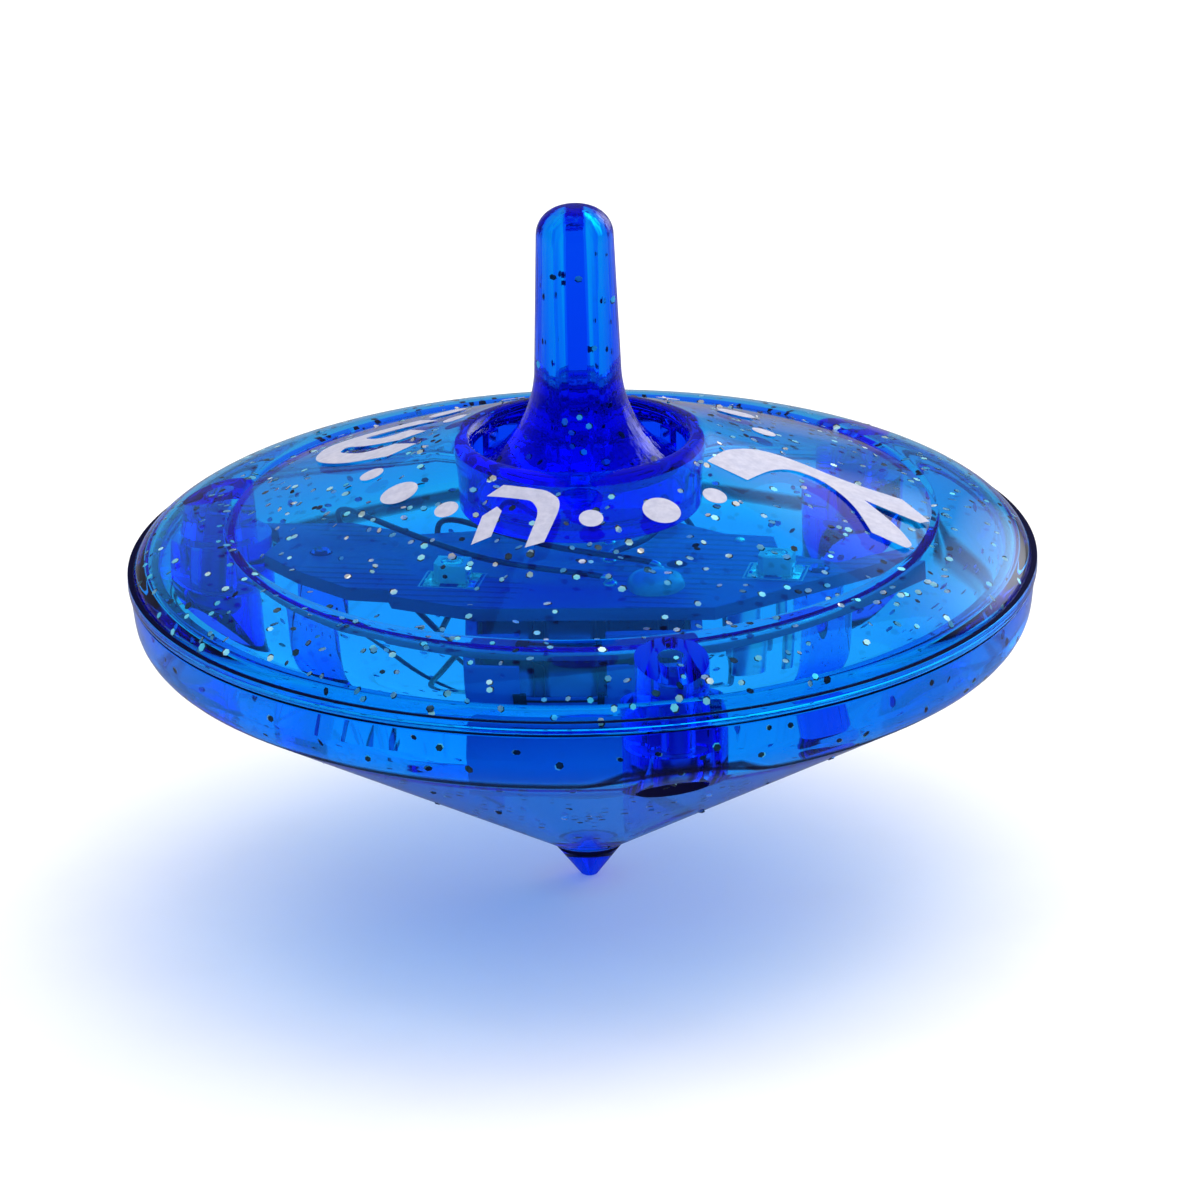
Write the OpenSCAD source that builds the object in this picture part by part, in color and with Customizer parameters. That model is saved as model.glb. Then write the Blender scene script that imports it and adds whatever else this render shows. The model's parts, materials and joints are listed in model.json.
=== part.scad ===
// Light-up spinning top with a finger stem. Two clear shells meet on a seam below the
// rim bead and are drawn together by three screws. A collar in the upper shell holds
// the stem, and a small board with lamps, cells and a buzzer sits inside.
// Millimetres, +Z up along the spin axis, origin at the point that touches the table.

/* [Outline] */
// Diameter over the rim bead
rim_d = 80; // [76:1:90]
// Height of the joint between the two shells
seam_z = 29; // [28.5:0.5:32]
// Height of the ring line above the joint
shoulder_h = 5.2; // [4.8:0.1:6.5]
// Width of the rounded shoulder, from the bead in to the ring line
shoulder_w = 8.75; // [8:0.25:10]
// Rise of the shallow roof from the ring line to the collar
roof_h = 7; // [6.5:0.25:9]

/* [Shells] */
// Wall of the upper shell
upper_wall = 1.6; // [1.4:0.1:2]
// Wall of the lower shell
lower_wall = 1.5; // [1.3:0.1:1.8]
// Height of the bead along the upper shell's edge
bead_h = 1.1; // [0.8:0.1:1.6]
// How far the bead stands out from the shoulder
bead_step = 0.6; // [0.4:0.1:0.8]
// Width of the upper shell's flat edge on the joint
skirt_w = 2.2; // [2:0.1:2.6]
// Shadow gap that shows between the shells
seam_gap = 0.2; // [0.1:0.05:0.4]
// Height of the lower shell's tongue above the joint
tongue_h = 1.3; // [0.8:0.1:1.8]
// Wall of the tongue
tongue_wall = 0.95; // [0.8:0.05:1.2]

/* [Cone and tip] */
// Radius of the flat that touches the table
tip_flat_r = 0.7; // [0.4:0.1:1.2]
// Radius where the steep tip meets the cone
tip_r = 3.24; // [2.8:0.02:4]
// Height of the steep tip
tip_h = 3.35; // [3:0.05:3.8]
// Inset of the heel, where the cone would meet the side wall, from the rim
heel_inset = 0.7; // [0.5:0.1:1.5]
// Drop of the heel below the joint
heel_drop = 4.6; // [4.2:0.1:5]
// Length of cone and wall that the heel's rounding takes up
heel_round = 2.2; // [1.5:0.1:3]

/* [Screws and bosses] */
// Inset of the screw circle from the rim
boss_inset = 6.7; // [6.5:0.1:7]
// Diameter of the upper shell's bosses
upper_boss_d = 6.3; // [5.6:0.1:6.6]
// Diameter of the lower shell's bosses
lower_boss_d = 8.8; // [8.4:0.1:9.2]
// Diameter of the counterbore under each lower boss
counterbore_d = 6.2; // [5.8:0.1:6.6]
// Plastic between the screw head and the joint
boss_floor = 3.4; // [2.4:0.1:4]
// Shank diameter of the shell screws
screw_d = 2.3; // [2:0.1:2.6]
// Head diameter of the shell screws
screw_head_d = 5; // [4.4:0.1:5.4]
// Head height of the shell screws
screw_head_h = 1.6; // [1.2:0.1:2]
// Screw length that stands in the upper boss
screw_bite = 2.6; // [2:0.1:3]

/* [Collar and stem] */
// Outer radius of the collar's lip on the roof
collar_r = 11.5; // [11.2:0.1:12.5]
// Height of the lip above the roof
lip_h = 0.42; // [0.3:0.02:0.6]
// Inset of the cup's outside from the collar's edge
cup_inset = 0.9; // [0.6:0.05:1.2]
// Wall of the cup
cup_wall = 1.2; // [1:0.1:1.4]
// Depth of the cup below the lip's top
cup_depth = 7.1; // [6.9:0.1:7.4]
// Stem height above the collar's lip
stem_rise = 20.9; // [18:0.1:26]
// Stem radius at the start of its dome
stem_top_r = 3.4; // [3.2:0.05:4]
// Stem radius where the flare begins
stem_low_r = 3.8; // [3.6:0.05:4.4]
// Reach of the ribs that centre the flare in the cup
rib_proud = 0.7; // [0.5:0.05:1]
// Depth of the flare's seat below the lip's top
seat_depth = 3.3; // [3:0.1:3.6]
// Radius of the post that the stem is pressed on
post_r = 1.9; // [1.7:0.05:2.2]
// Thickness of the post's blade inside the stem
blade_t = 1.3; // [1:0.1:1.6]

/* [Board and lamps] */
// Gap from the rim to each end of the board
board_margin = 10.5; // [10:0.5:13]
// Half the width of the box that the board fits in
board_half_w = 13.5; // [12.5:0.25:14]
// Thickness of the board
board_t = 1.2; // [0.8:0.1:1.6]
// Drop of the board's top below the joint
board_drop = 0.4; // [0.2:0.1:0.8]
// Length of each lamp
led_l = 3; // [2.4:0.1:3.4]
// Width of each lamp
led_w = 2.6; // [2:0.1:3]
// Height of each lamp
led_h = 1.7; // [1.2:0.1:2.4]
// Diameter of the resin drop over the chip
chip_d = 5.3; // [4.4:0.1:5.6]
// Height of the resin drop
chip_h = 1.5; // [1:0.1:2]

/* [Cells and buzzer] */
// Diameter of each button cell
cell_d = 11.6; // [11.2:0.1:11.8]
// Thickness of each button cell
cell_h = 5.4; // [5:0.1:5.6]
// Wall of the battery box
box_wall = 1; // [0.8:0.1:1.2]
// Room for the contacts beside the stack of cells
contact_room = 2.3; // [2:0.1:2.6]
// Clearance of the box's lower front corners from the cone
box_gap = 1.84; // [1.5:0.01:2.2]
// Thickness of the contact strips
contact_t = 0.4; // [0.3:0.05:0.5]
// Diameter of the buzzer's brass plate
buzzer_d = 20; // [18:0.5:24]
// Thickness of the brass plate
buzzer_t = 0.3; // [0.2:0.05:0.5]
// Drop of the buzzer below the battery box
buzzer_drop = 1.9; // [1.5:0.1:2.2]

/* [Spin switch] */
// Length of the arm from its root to the weight
arm_len = 8; // [7:0.1:8.5]
// Height of the arm's strip
arm_h = 2.4; // [2:0.1:3]
// Thickness of the arm's strip
arm_t = 0.3; // [0.2:0.05:0.4]
// Diameter of the weight
weight_d = 3; // [2.4:0.1:3.2]
// Height of the weight
weight_h = 4; // [3:0.1:4.4]
// Room between the battery box and the weight at rest
switch_room = 2.26; // [1.5:0.01:3]
// Swing of the arm until the weight meets its post
arm_swing = 9; // [6:0.5:10]

/* [Hidden] */

// General fits
overrun = 0.5;
fit_gap = 0.1;
seat_gap = 0.2;
round_fn = 96;
small_fn = 32;

// Joint and shell radii
rim_r = rim_d / 2;
skirt_r = rim_r - skirt_w;
edge_r = rim_r - bead_step;
tongue_r = skirt_r - 1.5 * fit_gap;
tongue_in_r = tongue_r - tongue_wall;
lower_edge_r = rim_r - seam_gap;
lower_edge_z = seam_z - seam_gap;

// Shoulder and roof, from the rim in to the collar
shoulder_r_power = 1.45;
shoulder_z_power = 1.18;
shoulder_step = 9;
ring_r = rim_r - shoulder_w;
ring_z = seam_z + shoulder_h;
ring_w = 0.5;
ring_dip = 0.12;
roof_z = ring_z + roof_h;
roof_slope = (roof_z - ring_z) / (ring_r - collar_r);
roof_wall = upper_wall * sqrt(1 + roof_slope * roof_slope);

// Collar, cup and post
lip_z = roof_z + lip_h;
cup_r = collar_r - cup_inset;
cup_in_r = cup_r - cup_wall;
cup_z = lip_z - cup_depth;
cup_floor_z = cup_z + cup_wall;
lip_hole_r = cup_in_r + cup_wall / 3;
rib_count = 3;
rib_turn = 30;
rib_w = 1.6;
rib_drop = 1.2;
shelf_w = 2;

// Stem heights
stem_top_z = lip_z + stem_rise;
dome_h = 2.6;
crown_t = 1.9;
flare_r = cup_in_r - rib_proud - fit_gap;
flare_h = 9.4;
flare_ease = 2.8;
flare_w = flare_r - stem_low_r + flare_ease;
flare_rim_h = 1;
flare_seat_z = lip_z - seat_depth;
flare_z = flare_seat_z + flare_rim_h;
stem_neck_z = flare_z + flare_h * sqrt(1 - pow(1 - (flare_r - stem_low_r) / flare_w, 2));
stem_foot_z = cup_floor_z + fit_gap;
stem_bore_r = post_r + fit_gap;
stem_bore_z = stem_top_z - crown_t;
post_drop = 2.8;
post_z = stem_neck_z - post_drop;
blade_z = stem_bore_z - stem_bore_r / 2 - seat_gap;
blade_crown = [[post_r / 2, stem_bore_r * 5 / 6], [0, stem_bore_r]];

// Cone and heel
heel_r = rim_r - heel_inset;
heel_z = seam_z - heel_drop;
slope = (heel_z - tip_h) / (heel_r - tip_r);
cone_wall = lower_wall * sqrt(1 + slope * slope);
function cone_z(r) = tip_h + (r - tip_r) * slope;
function cone_in_z(r) = cone_z(r) + cone_wall;
function cone_in_r(z) = tip_r + (z - tip_h - cone_wall) / slope;
plug_r = 0.75 * tip_r;
heel = [heel_r, heel_z];
heel_from = heel - heel_round * unit([1, slope]);
heel_to = heel + heel_round * unit([lower_edge_r - heel_r, lower_edge_z - heel_z]);

// Bosses and screws
boss_r = rim_r - boss_inset;
boss_turns = [-77.35, 42.65, 162.65];
upper_boss_r = upper_boss_d / 2;
lower_boss_r = lower_boss_d / 2;
counterbore_r = counterbore_d / 2;
head_seat_z = seam_z - boss_floor;
screw_r = screw_d / 2;
pilot_spare = 1;
pilot_z = seam_z + screw_bite + pilot_spare;
screw_hole_r = screw_r + 3 * fit_gap;
pilot_r = screw_r + fit_gap / 2;
drive_w = 0.7;
drive_l = 2.8;
drive_depth = 0.9;

// Board and what stands on it
board_z = seam_z - board_drop;
board_low_z = board_z - board_t;
board_half_l = rim_r - board_margin;
board_shares = [
  [-0.956, 1], [-0.695, 1], [-0.49, 0.711], [0.305, 0.785], [0.434, 0.57], [0.576, 0.504],
  [0.59, 0.193], [0.756, -0.03], [0.959, 0.207], [0.997, 0.104], [0.386, -0.815],
  [-0.319, -0.74], [-0.566, -0.467], [-0.576, -0.356], [-0.695, -0.296], [-0.847, 0.044],
  [-0.949, 0.37], [-0.905, 0.637], [-0.912, 0.837]
];
function on_board(shares) = [shares[0] * board_half_l, shares[1] * board_half_w];
stake_left_share = [-0.78, 0.4];
stake_right_y_share = -0.152;
stake_r = 0.9;
stake_proud = 0.3;
stand_r = 2.2;
spare_hole_share = [0.281, 0];
spare_hole_r = 0.9;
led_right_y_share = -0.185;
led_left_share = [-0.386, -0.2];
led_turn = -12;
led_bevel = 0.35;
pad_t = 0.1;
pad_w = 1.5;
pad_gap = 1.6;
pad_l = 3.6;
chip_share = [0.214, -0.407];

// Battery box and cells
cell_count = 3;
cell_gap = 0.2;
cell_rim = 0.45;
cell_cap_h = 0.9;
stack_l = cell_count * cell_h;
box_in_l = stack_l + contact_room;
box_l = box_in_l + 2 * box_wall;
box_w = cell_d + 2 * cell_gap + 2 * box_wall;
box_h = cell_d + 2 * cell_gap + box_wall;
box_z = board_low_z - box_h;
box_y = box_w / 2 - sqrt(pow(cone_in_r(box_z) - box_gap, 2) - pow(box_l / 2, 2));
cell_z = board_low_z - cell_gap - cell_d / 2;
cell_x = -box_in_l / 2 + contact_t;
box_notch_shares = [-0.27, 0.09];
box_notch_depth = 4.1;
tab_w = 2;
tab_l = 1.2;
tab_shift = 2;
tab_y = box_y + tab_shift;
tab_z = cell_z;
leaf_w = 4;
strip_w = 7;

// Buzzer on its ledges
buzzer_z = box_z - buzzer_drop;
buzzer_r = buzzer_d / 2;
ceramic_share = 0.72;
ceramic_t = 0.2;
ledge_turns = [60, 180, 300];
ledge_w = 1.4;
ledge_reach = 2.6;

// Spin switch under the board, between the box and the right stand
switch_y_share = 0.333;
switch_at = [box_l / 2 + switch_room + weight_d / 2, switch_y_share * board_half_w];
base_w = 4;
base_l = 2.7;
base_h = 4.4;
base_bridge = 1;
root_depth = 1;
arm_drop = 1.6;
arm_z = board_low_z - arm_drop - arm_h;
weight_r = weight_d / 2;
weight_z = arm_z + arm_h / 2 - weight_h / 2;
post_pin_r = 0.5;
arm_reach = [arm_len * sin(arm_swing), -arm_len * cos(arm_swing)];
touch_gap = 0.06;
pin_x = switch_at[0] + arm_reach[0] + weight_r + post_pin_r + touch_gap;
pin_y = switch_at[1] + arm_reach[1];
pin_room = 0.6;
stakes = [
  on_board(stake_left_share),
  [pin_x + post_pin_r + pin_room + stand_r, stake_right_y_share * board_half_w]
];
lamp_room = 1.3;
lamps = [
  [stakes[1][0] - stake_r - lamp_room - led_l / 2, led_right_y_share * board_half_w],
  on_board(led_left_share)
];

// Wires inside the shells: soldered starts, then points in grid steps from the board's top
wire_step = 1;
wire_r = 0.3;
wire_sides = 8;
wire_passes = 2;
wire_lift = 0.05;
plate_end_shares = [-0.68, 0.54];
ceramic_end_shares = [-0.32, 0.48];
plus_from = [-box_l / 2 - tab_l - wire_lift, tab_y, tab_z];
minus_from = [box_l / 2 + tab_l + wire_lift, tab_y, tab_z];
plate_from = [for (s = plate_end_shares) s * buzzer_r];
ceramic_from = [for (s = ceramic_end_shares) s * buzzer_r];
plus_route = [
  [-12.6, -4.8, -7.2], [-13.6, 1, -8], [-11.6, 8, -6.6], [-9.4, 11.8, -3], [-8.6, 12.4, -0.6],
  [-7.4, 11.4, 0.9], [-5, 8, 1.1], [-3.6, 5.6, 0.9], [-0.6, 5, 0.8], [2.4, 5.7, 0.7],
  [2.4, 5.7, 0.05]
];
minus_route = [
  [12.5, -4.9, -7.8], [12.6, 2, -8.8], [12.6, 9, -6.6], [11, 12.6, -3], [9.6, 13, -0.6],
  [8.7, 12, 0.9], [7.4, 8, 1.1], [6.1, 4.5, 0.9], [4.4, 2.7, 0.8], [2.4, 1.2, 0.7],
  [2.4, 1.2, 0.05]
];
plate_route = [
  [-13.6, 11.8, -9.8], [-20, 16, -3.8], [-22, 17, -0.8], [-21.6, 15.6, 0.9],
  [-19.2, 11.6, 1.3], [-16.1, 7.4, 1.2], [-11, 1.6, 1.1], [-7.6, -1, 1], [-3.8, -2.8, 0.9],
  [2.4, -4.7, 0.7], [2.4, -4.7, 0.05]
];
ceramic_route = [
  [-8, 9.4, -10.2], [-12, 12.6, -4.6], [-13.2, 13, -1.2], [-12.4, 11.8, 0.9],
  [-8, 6.4, 1.3], [-3.1, 2.2, 1.1], [2, 0.2, 0.9], [6.7, -1.5, 0.7], [6.7, -1.5, 0.05]
];

function unit(v) = v / norm(v);
function curve(a, b, c, n) =
  [for (i = [0:n]) let (t = i / n) (1 - t) * (1 - t) * a + 2 * t * (1 - t) * b + t * t * c];
function shoulder(w, z0, h) =
  [for (t = [0:shoulder_step:90])
    [ring_r + w * pow(cos(t), shoulder_r_power), z0 + h * pow(sin(t), shoulder_z_power)]];
function carried(dirs, side, i) = i == len(dirs) ? [] :
  let (s = unit(side - (side * dirs[i]) * dirs[i])) concat([s], carried(dirs, s, i + 1));
function reversed(v) = [for (i = [len(v) - 1:-1:0]) v[i]];
function refine(p) = concat([p[0]],
  [for (i = [0:len(p) - 2], k = [0, 1])
    let (a = p[i], b = p[i + 1]) k == 0 ? (3 * a + b) / 4 : (a + 3 * b) / 4],
  [p[len(p) - 1]]);
function refined(p, n) = n == 0 ? p : refined(refine(p), n - 1);

// Tube of round section along a list of points, with both ends square to the route
module tube(p, r, sides) {
  n = len(p);
  dirs = [for (i = [0:n - 1]) unit(p[min(i + 1, n - 1)] - p[max(i - 1, 0)])];
  side_axes = carried(dirs, unit(cross(dirs[0], [0.6, 0.8, 0.1])), 0);
  rings = [for (i = [0:n - 1], k = [0:sides - 1]) let (a = 360 * k / sides)
    p[i] + r * cos(a) * side_axes[i] + r * sin(a) * cross(dirs[i], side_axes[i])];
  walls = [for (i = [0:n - 2], k = [0:sides - 1], h = [0, 1])
    let (a = i * sides + k, b = i * sides + (k + 1) % sides)
    h == 0 ? [a, a + sides, b] : [b, a + sides, b + sides]];
  ends = [[for (k = [0:sides - 1]) k], [for (k = [sides - 1:-1:0]) (n - 1) * sides + k]];
  polyhedron(points = rings, faces = concat(walls, ends));
}

module wire(start, route) {
  at = [for (q = route) wire_step * q + [0, 0, board_z]];
  tube(refined(concat(start, at), wire_passes), wire_r, wire_sides);
}

// Wire from a soldered spot on a buzzer disc whose top is at height z
module disc_wire(spot, z, route) {
  foot = [spot[0], spot[1], z + wire_lift];
  wire([foot, foot + [0, 0, 4 * wire_r]], route);
}

// Full body of the upper shell's middle surface, used to trim what hangs from the roof
module under_roof() {
  rotate_extrude($fn = round_fn)
    polygon(concat(
      [[0, seam_z]],
      shoulder(skirt_r - ring_r + upper_wall / 3, seam_z, ring_z - seam_z - upper_wall / 2),
      [[collar_r, roof_z - roof_wall / 2], [0, roof_z - roof_wall / 2]]));
}

// Full body inside the middle of the lower shell's wall
module over_cone() {
  core_r = tongue_in_r + tongue_wall / 2;
  rotate_extrude($fn = round_fn)
    polygon([[0, cone_z(0) + cone_wall / 2], [core_r, cone_z(core_r) + cone_wall / 2],
      [core_r, seam_z], [0, seam_z]]);
}

module at_bosses() {
  for (a = boss_turns) rotate([0, 0, a]) translate([boss_r, 0, 0]) children();
}

module upper_shell() {
  color([0.05, 0.35, 0.95, 0.55]) difference() {
    union() {
      rotate_extrude($fn = round_fn) polygon(concat(
        [[skirt_r, seam_z], [rim_r, seam_z], [rim_r, seam_z + bead_h]],
        shoulder(edge_r - ring_r, seam_z + bead_h, ring_z - seam_z - bead_h),
        [[ring_r - ring_w, ring_z - ring_dip], [collar_r, roof_z]],
        curve([(2 * collar_r + lip_hole_r) / 3, roof_z + 0.8 * lip_h], [lip_hole_r + lip_h, lip_z],
          [lip_hole_r, lip_z], 3),
        [[cup_in_r, lip_z - 1.5 * lip_h], [cup_in_r, cup_floor_z], [post_r, cup_floor_z],
          [post_r, post_z], [0, post_z], [0, cup_z], [cup_r - lip_h, cup_z], [cup_r, cup_z + lip_h],
          [cup_r, roof_z - roof_wall + (collar_r - cup_r) * roof_slope],
          [ring_r - ring_w, ring_z - ring_dip - roof_wall]],
        reversed(shoulder(skirt_r - ring_r, seam_z + bead_h,
          ring_z - seam_z - bead_h - upper_wall))));
      intersection() {
        at_bosses() translate([0, 0, seam_z]) cylinder(r = upper_boss_r, h = shoulder_h, $fn = small_fn);
        under_roof();
      }
      for (k = [0:rib_count - 1]) rotate([0, 0, rib_turn + 360 / rib_count * k]) {
        translate([cup_in_r - rib_proud, -rib_w / 2, cup_floor_z - overrun])
          cube([rib_proud + cup_wall / 2, rib_w, lip_z - rib_drop - cup_floor_z + overrun]);
        translate([cup_in_r - shelf_w, -rib_w / 2, cup_floor_z - overrun])
          cube([shelf_w + cup_wall / 2, rib_w, flare_seat_z - cup_floor_z + overrun]);
      }
      intersection() {
        translate([0, 0, cup_floor_z]) cylinder(r = post_r, h = stem_top_z - cup_floor_z, $fn = small_fn);
        translate([-blade_t / 2, 0, 0]) rotate([90, 0, 90]) linear_extrude(blade_t)
          polygon(concat([[-post_r, cup_floor_z], [post_r, cup_floor_z], [post_r, blade_z]],
            [for (p = blade_crown) [p[0], blade_z + p[1]]],
            [[-blade_crown[0][0], blade_z + blade_crown[0][1]], [-post_r, blade_z]]));
      }
    }
    at_bosses() translate([0, 0, seam_z - overrun])
      cylinder(r = pilot_r, h = pilot_z - seam_z + overrun, $fn = small_fn);
  }
}

module lower_shell() {
  color([0.05, 0.3, 0.9, 0.55]) difference() {
    union() {
      rotate_extrude($fn = round_fn) polygon(concat(
        [[0, 0], [tip_flat_r, 0], [tip_r, tip_h]],
        curve(heel_from, heel, heel_to, 5),
        [[lower_edge_r, lower_edge_z], [tongue_r, lower_edge_z],
          [tongue_r, seam_z + tongue_h - tongue_wall / 3],
          [tongue_r - tongue_wall / 3, seam_z + tongue_h], [tongue_in_r, seam_z + tongue_h]],
        curve([tongue_in_r, cone_in_z(tongue_in_r) + heel_round / 2],
          [tongue_in_r, cone_in_z(tongue_in_r)],
          [tongue_in_r - heel_round / 2, cone_in_z(tongue_in_r - heel_round / 2)], 3),
        [[plug_r, cone_in_z(plug_r)], [plug_r / 2, cone_in_z(plug_r) + lower_wall / 4],
          [0, cone_in_z(plug_r) + lower_wall / 3]]));
      intersection() {
        union() {
          at_bosses() translate([0, 0, heel_z - heel_drop - lower_boss_r])
            cylinder(r = lower_boss_r, h = seam_z - heel_z + heel_drop + lower_boss_r, $fn = small_fn);
          for (at = stakes) translate([at[0], at[1], 0])
            cylinder(r = stand_r, h = board_low_z, $fn = small_fn);
          for (a = ledge_turns) rotate([0, 0, a]) translate([buzzer_r - ledge_reach, -ledge_w / 2, 0])
            cube([cone_in_r(buzzer_z) - buzzer_r + ledge_reach + cone_wall, ledge_w, buzzer_z]);
        }
        over_cone();
      }
      for (at = stakes) translate([at[0], at[1], board_low_z - overrun])
        cylinder(r = stake_r, h = board_t + stake_proud + overrun, $fn = small_fn);
    }
    at_bosses() {
      translate([0, 0, cone_z(boss_r - counterbore_r) - overrun])
        cylinder(r = counterbore_r, h = head_seat_z - cone_z(boss_r - counterbore_r) + overrun,
          $fn = small_fn);
      translate([0, 0, head_seat_z - overrun])
        cylinder(r = screw_hole_r, h = boss_floor + 2 * overrun, $fn = small_fn);
    }
  }
}

module stem() {
  color([0.02, 0.15, 0.95, 0.6]) rotate_extrude($fn = round_fn) polygon(concat(
    [[stem_bore_r, stem_foot_z], [stem_low_r, stem_foot_z],
      [stem_low_r, flare_seat_z], [flare_r, flare_seat_z]],
    [for (k = [0:8]) let (r = flare_r - (flare_r - stem_low_r) * (1 - pow(1 - k / 8, 2)))
      [r, stem_neck_z - flare_h * sqrt(1 - pow(1 - (r - stem_low_r) / flare_w, 2))]],
    [for (t = [0:10:80]) [stem_top_r * pow(cos(t), 0.8), stem_top_z - dome_h * (1 - sin(t))]],
    [[0, stem_top_z], [0, stem_bore_z + stem_bore_r / 2], [stem_bore_r / 2, stem_bore_z + stem_bore_r / 3],
      [stem_bore_r, stem_bore_z - stem_bore_r / 2]]));
}

module shell_screws() {
  color("silver") at_bosses() difference() {
    union() {
      translate([0, 0, head_seat_z - screw_head_h]) rotate_extrude($fn = small_fn)
        polygon([[0, 0], [screw_head_d / 2 - screw_head_h / 3, 0],
          [screw_head_d / 2, screw_head_h / 3], [screw_head_d / 2, screw_head_h], [0, screw_head_h]]);
      translate([0, 0, head_seat_z]) rotate_extrude($fn = small_fn)
        polygon([[0, 0], [screw_r, 0], [screw_r, boss_floor + screw_bite - screw_r],
          [screw_r / 3, boss_floor + screw_bite], [0, boss_floor + screw_bite]]);
    }
    for (a = [0, 90]) rotate([0, 0, a])
      translate([-drive_l / 2, -drive_w / 2, head_seat_z - screw_head_h - overrun])
        cube([drive_l, drive_w, drive_depth + overrun]);
  }
}

module circuit_board() {
  color("darkgreen") difference() {
    translate([0, 0, board_low_z]) linear_extrude(board_t)
      polygon([for (s = board_shares) on_board(s)]);
    for (at = stakes) translate([at[0], at[1], board_low_z - overrun])
      cylinder(r = stake_r + fit_gap, h = board_t + 2 * overrun, $fn = small_fn);
    translate([on_board(spare_hole_share)[0], on_board(spare_hole_share)[1], board_low_z - overrun])
      cylinder(r = spare_hole_r, h = board_t + 2 * overrun, $fn = small_fn);
  }
}

module lamp_pads() {
  color("gainsboro") for (at = lamps) translate([at[0], at[1], board_z]) rotate([0, 0, led_turn])
    for (side = [-1, 1]) translate([side * (pad_gap + pad_w) / 2, 0, pad_t / 2])
      cube([pad_w, pad_l, pad_t], center = true);
}

module led(at) {
  color("aliceblue") translate([at[0], at[1], board_z + pad_t]) rotate([0, 0, led_turn]) {
    translate([-led_l / 2, -led_w / 2, 0]) cube([led_l, led_w, led_h - led_bevel]);
    translate([0, 0, led_h - led_bevel]) linear_extrude(led_bevel)
      square([led_l - 2 * led_bevel, led_w - 2 * led_bevel], center = true);
  }
}

module chip_drop() {
  chip_r = chip_d / 2;
  ball_r = (chip_r * chip_r + chip_h * chip_h) / (2 * chip_h);
  chip_at = on_board(chip_share);
  color("midnightblue") translate([chip_at[0], chip_at[1], board_z]) intersection() {
    translate([0, 0, chip_h - ball_r]) sphere(r = ball_r, $fn = small_fn);
    translate([-chip_d, -chip_d, 0]) cube([2 * chip_d, 2 * chip_d, chip_h + overrun]);
  }
}

module battery_box() {
  color("dimgray") difference() {
    translate([-box_l / 2, box_y - box_w / 2, box_z]) cube([box_l, box_w, box_h]);
    translate([-box_in_l / 2, box_y - box_w / 2 + box_wall, box_z + box_wall])
      cube([box_in_l, box_w - 2 * box_wall, box_h]);
    translate([box_notch_shares[0] * box_l, box_y - box_w / 2 - overrun, board_low_z - box_notch_depth])
      cube([(box_notch_shares[1] - box_notch_shares[0]) * box_l, box_wall + 2 * overrun,
        box_notch_depth + overrun]);
    for (side = [-1, 1])
      translate([side * (box_l - box_wall) / 2, tab_y, tab_z])
        cube([box_wall + 2 * overrun, tab_w + 2 * fit_gap, contact_t + 2 * fit_gap], center = true);
  }
}

module button_cell(i) {
  cell_r = cell_d / 2;
  color("lightgray") translate([cell_x + i * cell_h, box_y, cell_z]) rotate([0, 90, 0])
    rotate_extrude($fn = round_fn) polygon([[0, 0], [cell_r - cell_rim, 0], [cell_r, cell_rim],
      [cell_r, cell_h - cell_cap_h - cell_rim], [cell_r - cell_rim, cell_h - cell_cap_h],
      [cell_r - 2 * cell_rim, cell_h - cell_cap_h], [cell_r - 3 * cell_rim, cell_h], [0, cell_h]]);
}

module contact_plate() {
  color("khaki") {
    translate([-box_in_l / 2, box_y - strip_w / 2, cell_z - strip_w / 2])
      cube([contact_t, strip_w, strip_w]);
    translate([-box_l / 2 - tab_l, tab_y - tab_w / 2, tab_z - contact_t / 2])
      cube([box_wall + tab_l, tab_w, contact_t]);
  }
}

module contact_leaf() {
  leaf_gap = contact_room - 2 * contact_t - fit_gap;
  half = strip_w / 2;
  color("khaki") {
    translate([box_in_l / 2 - contact_t, box_y - strip_w / 2, cell_z - strip_w / 2])
      cube([contact_t, strip_w, strip_w]);
    translate([box_in_l / 2, tab_y - tab_w / 2, tab_z - contact_t / 2])
      cube([box_wall + tab_l, tab_w, contact_t]);
    translate([box_in_l / 2 - contact_t, box_y + leaf_w / 2, cell_z]) rotate([90, 0, 0])
      linear_extrude(leaf_w) polygon(concat(
        curve([0, -half], [-2 * leaf_gap, 0], [0, half], 8),
        curve([0, half - 2 * contact_t], [2 * contact_t - 2 * leaf_gap, 0], [0, 2 * contact_t - half], 8)));
  }
}

module switch_base() {
  color("black") difference() {
    translate([switch_at[0] - base_w / 2, switch_at[1], board_low_z - base_h])
      cube([base_w, base_l, base_h]);
    translate([switch_at[0] - arm_t / 2 - 3 * fit_gap, switch_at[1] - overrun,
        board_low_z - base_h - overrun])
      cube([arm_t + 6 * fit_gap, root_depth + 3 * fit_gap + overrun, base_h - base_bridge + overrun]);
  }
}

module switch_arm() {
  color("goldenrod") translate([switch_at[0] - arm_t / 2, switch_at[1] - arm_len, arm_z])
    cube([arm_t, arm_len + root_depth, arm_h]);
}

module switch_weight() {
  color("silver") translate([switch_at[0], switch_at[1] - arm_len, weight_z]) difference() {
    cylinder(r = weight_r, h = weight_h, $fn = small_fn);
    translate([-arm_t / 2, 0, arm_z - weight_z]) cube([arm_t, weight_r + overrun, arm_h]);
  }
}

module switch_post() {
  color("goldenrod") translate([pin_x, pin_y, weight_z])
    cylinder(r = post_pin_r, h = board_low_z - weight_z, $fn = small_fn);
}

module buzzer_plate() {
  color("gold") translate([0, 0, buzzer_z]) cylinder(r = buzzer_r, h = buzzer_t, $fn = round_fn);
}

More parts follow.
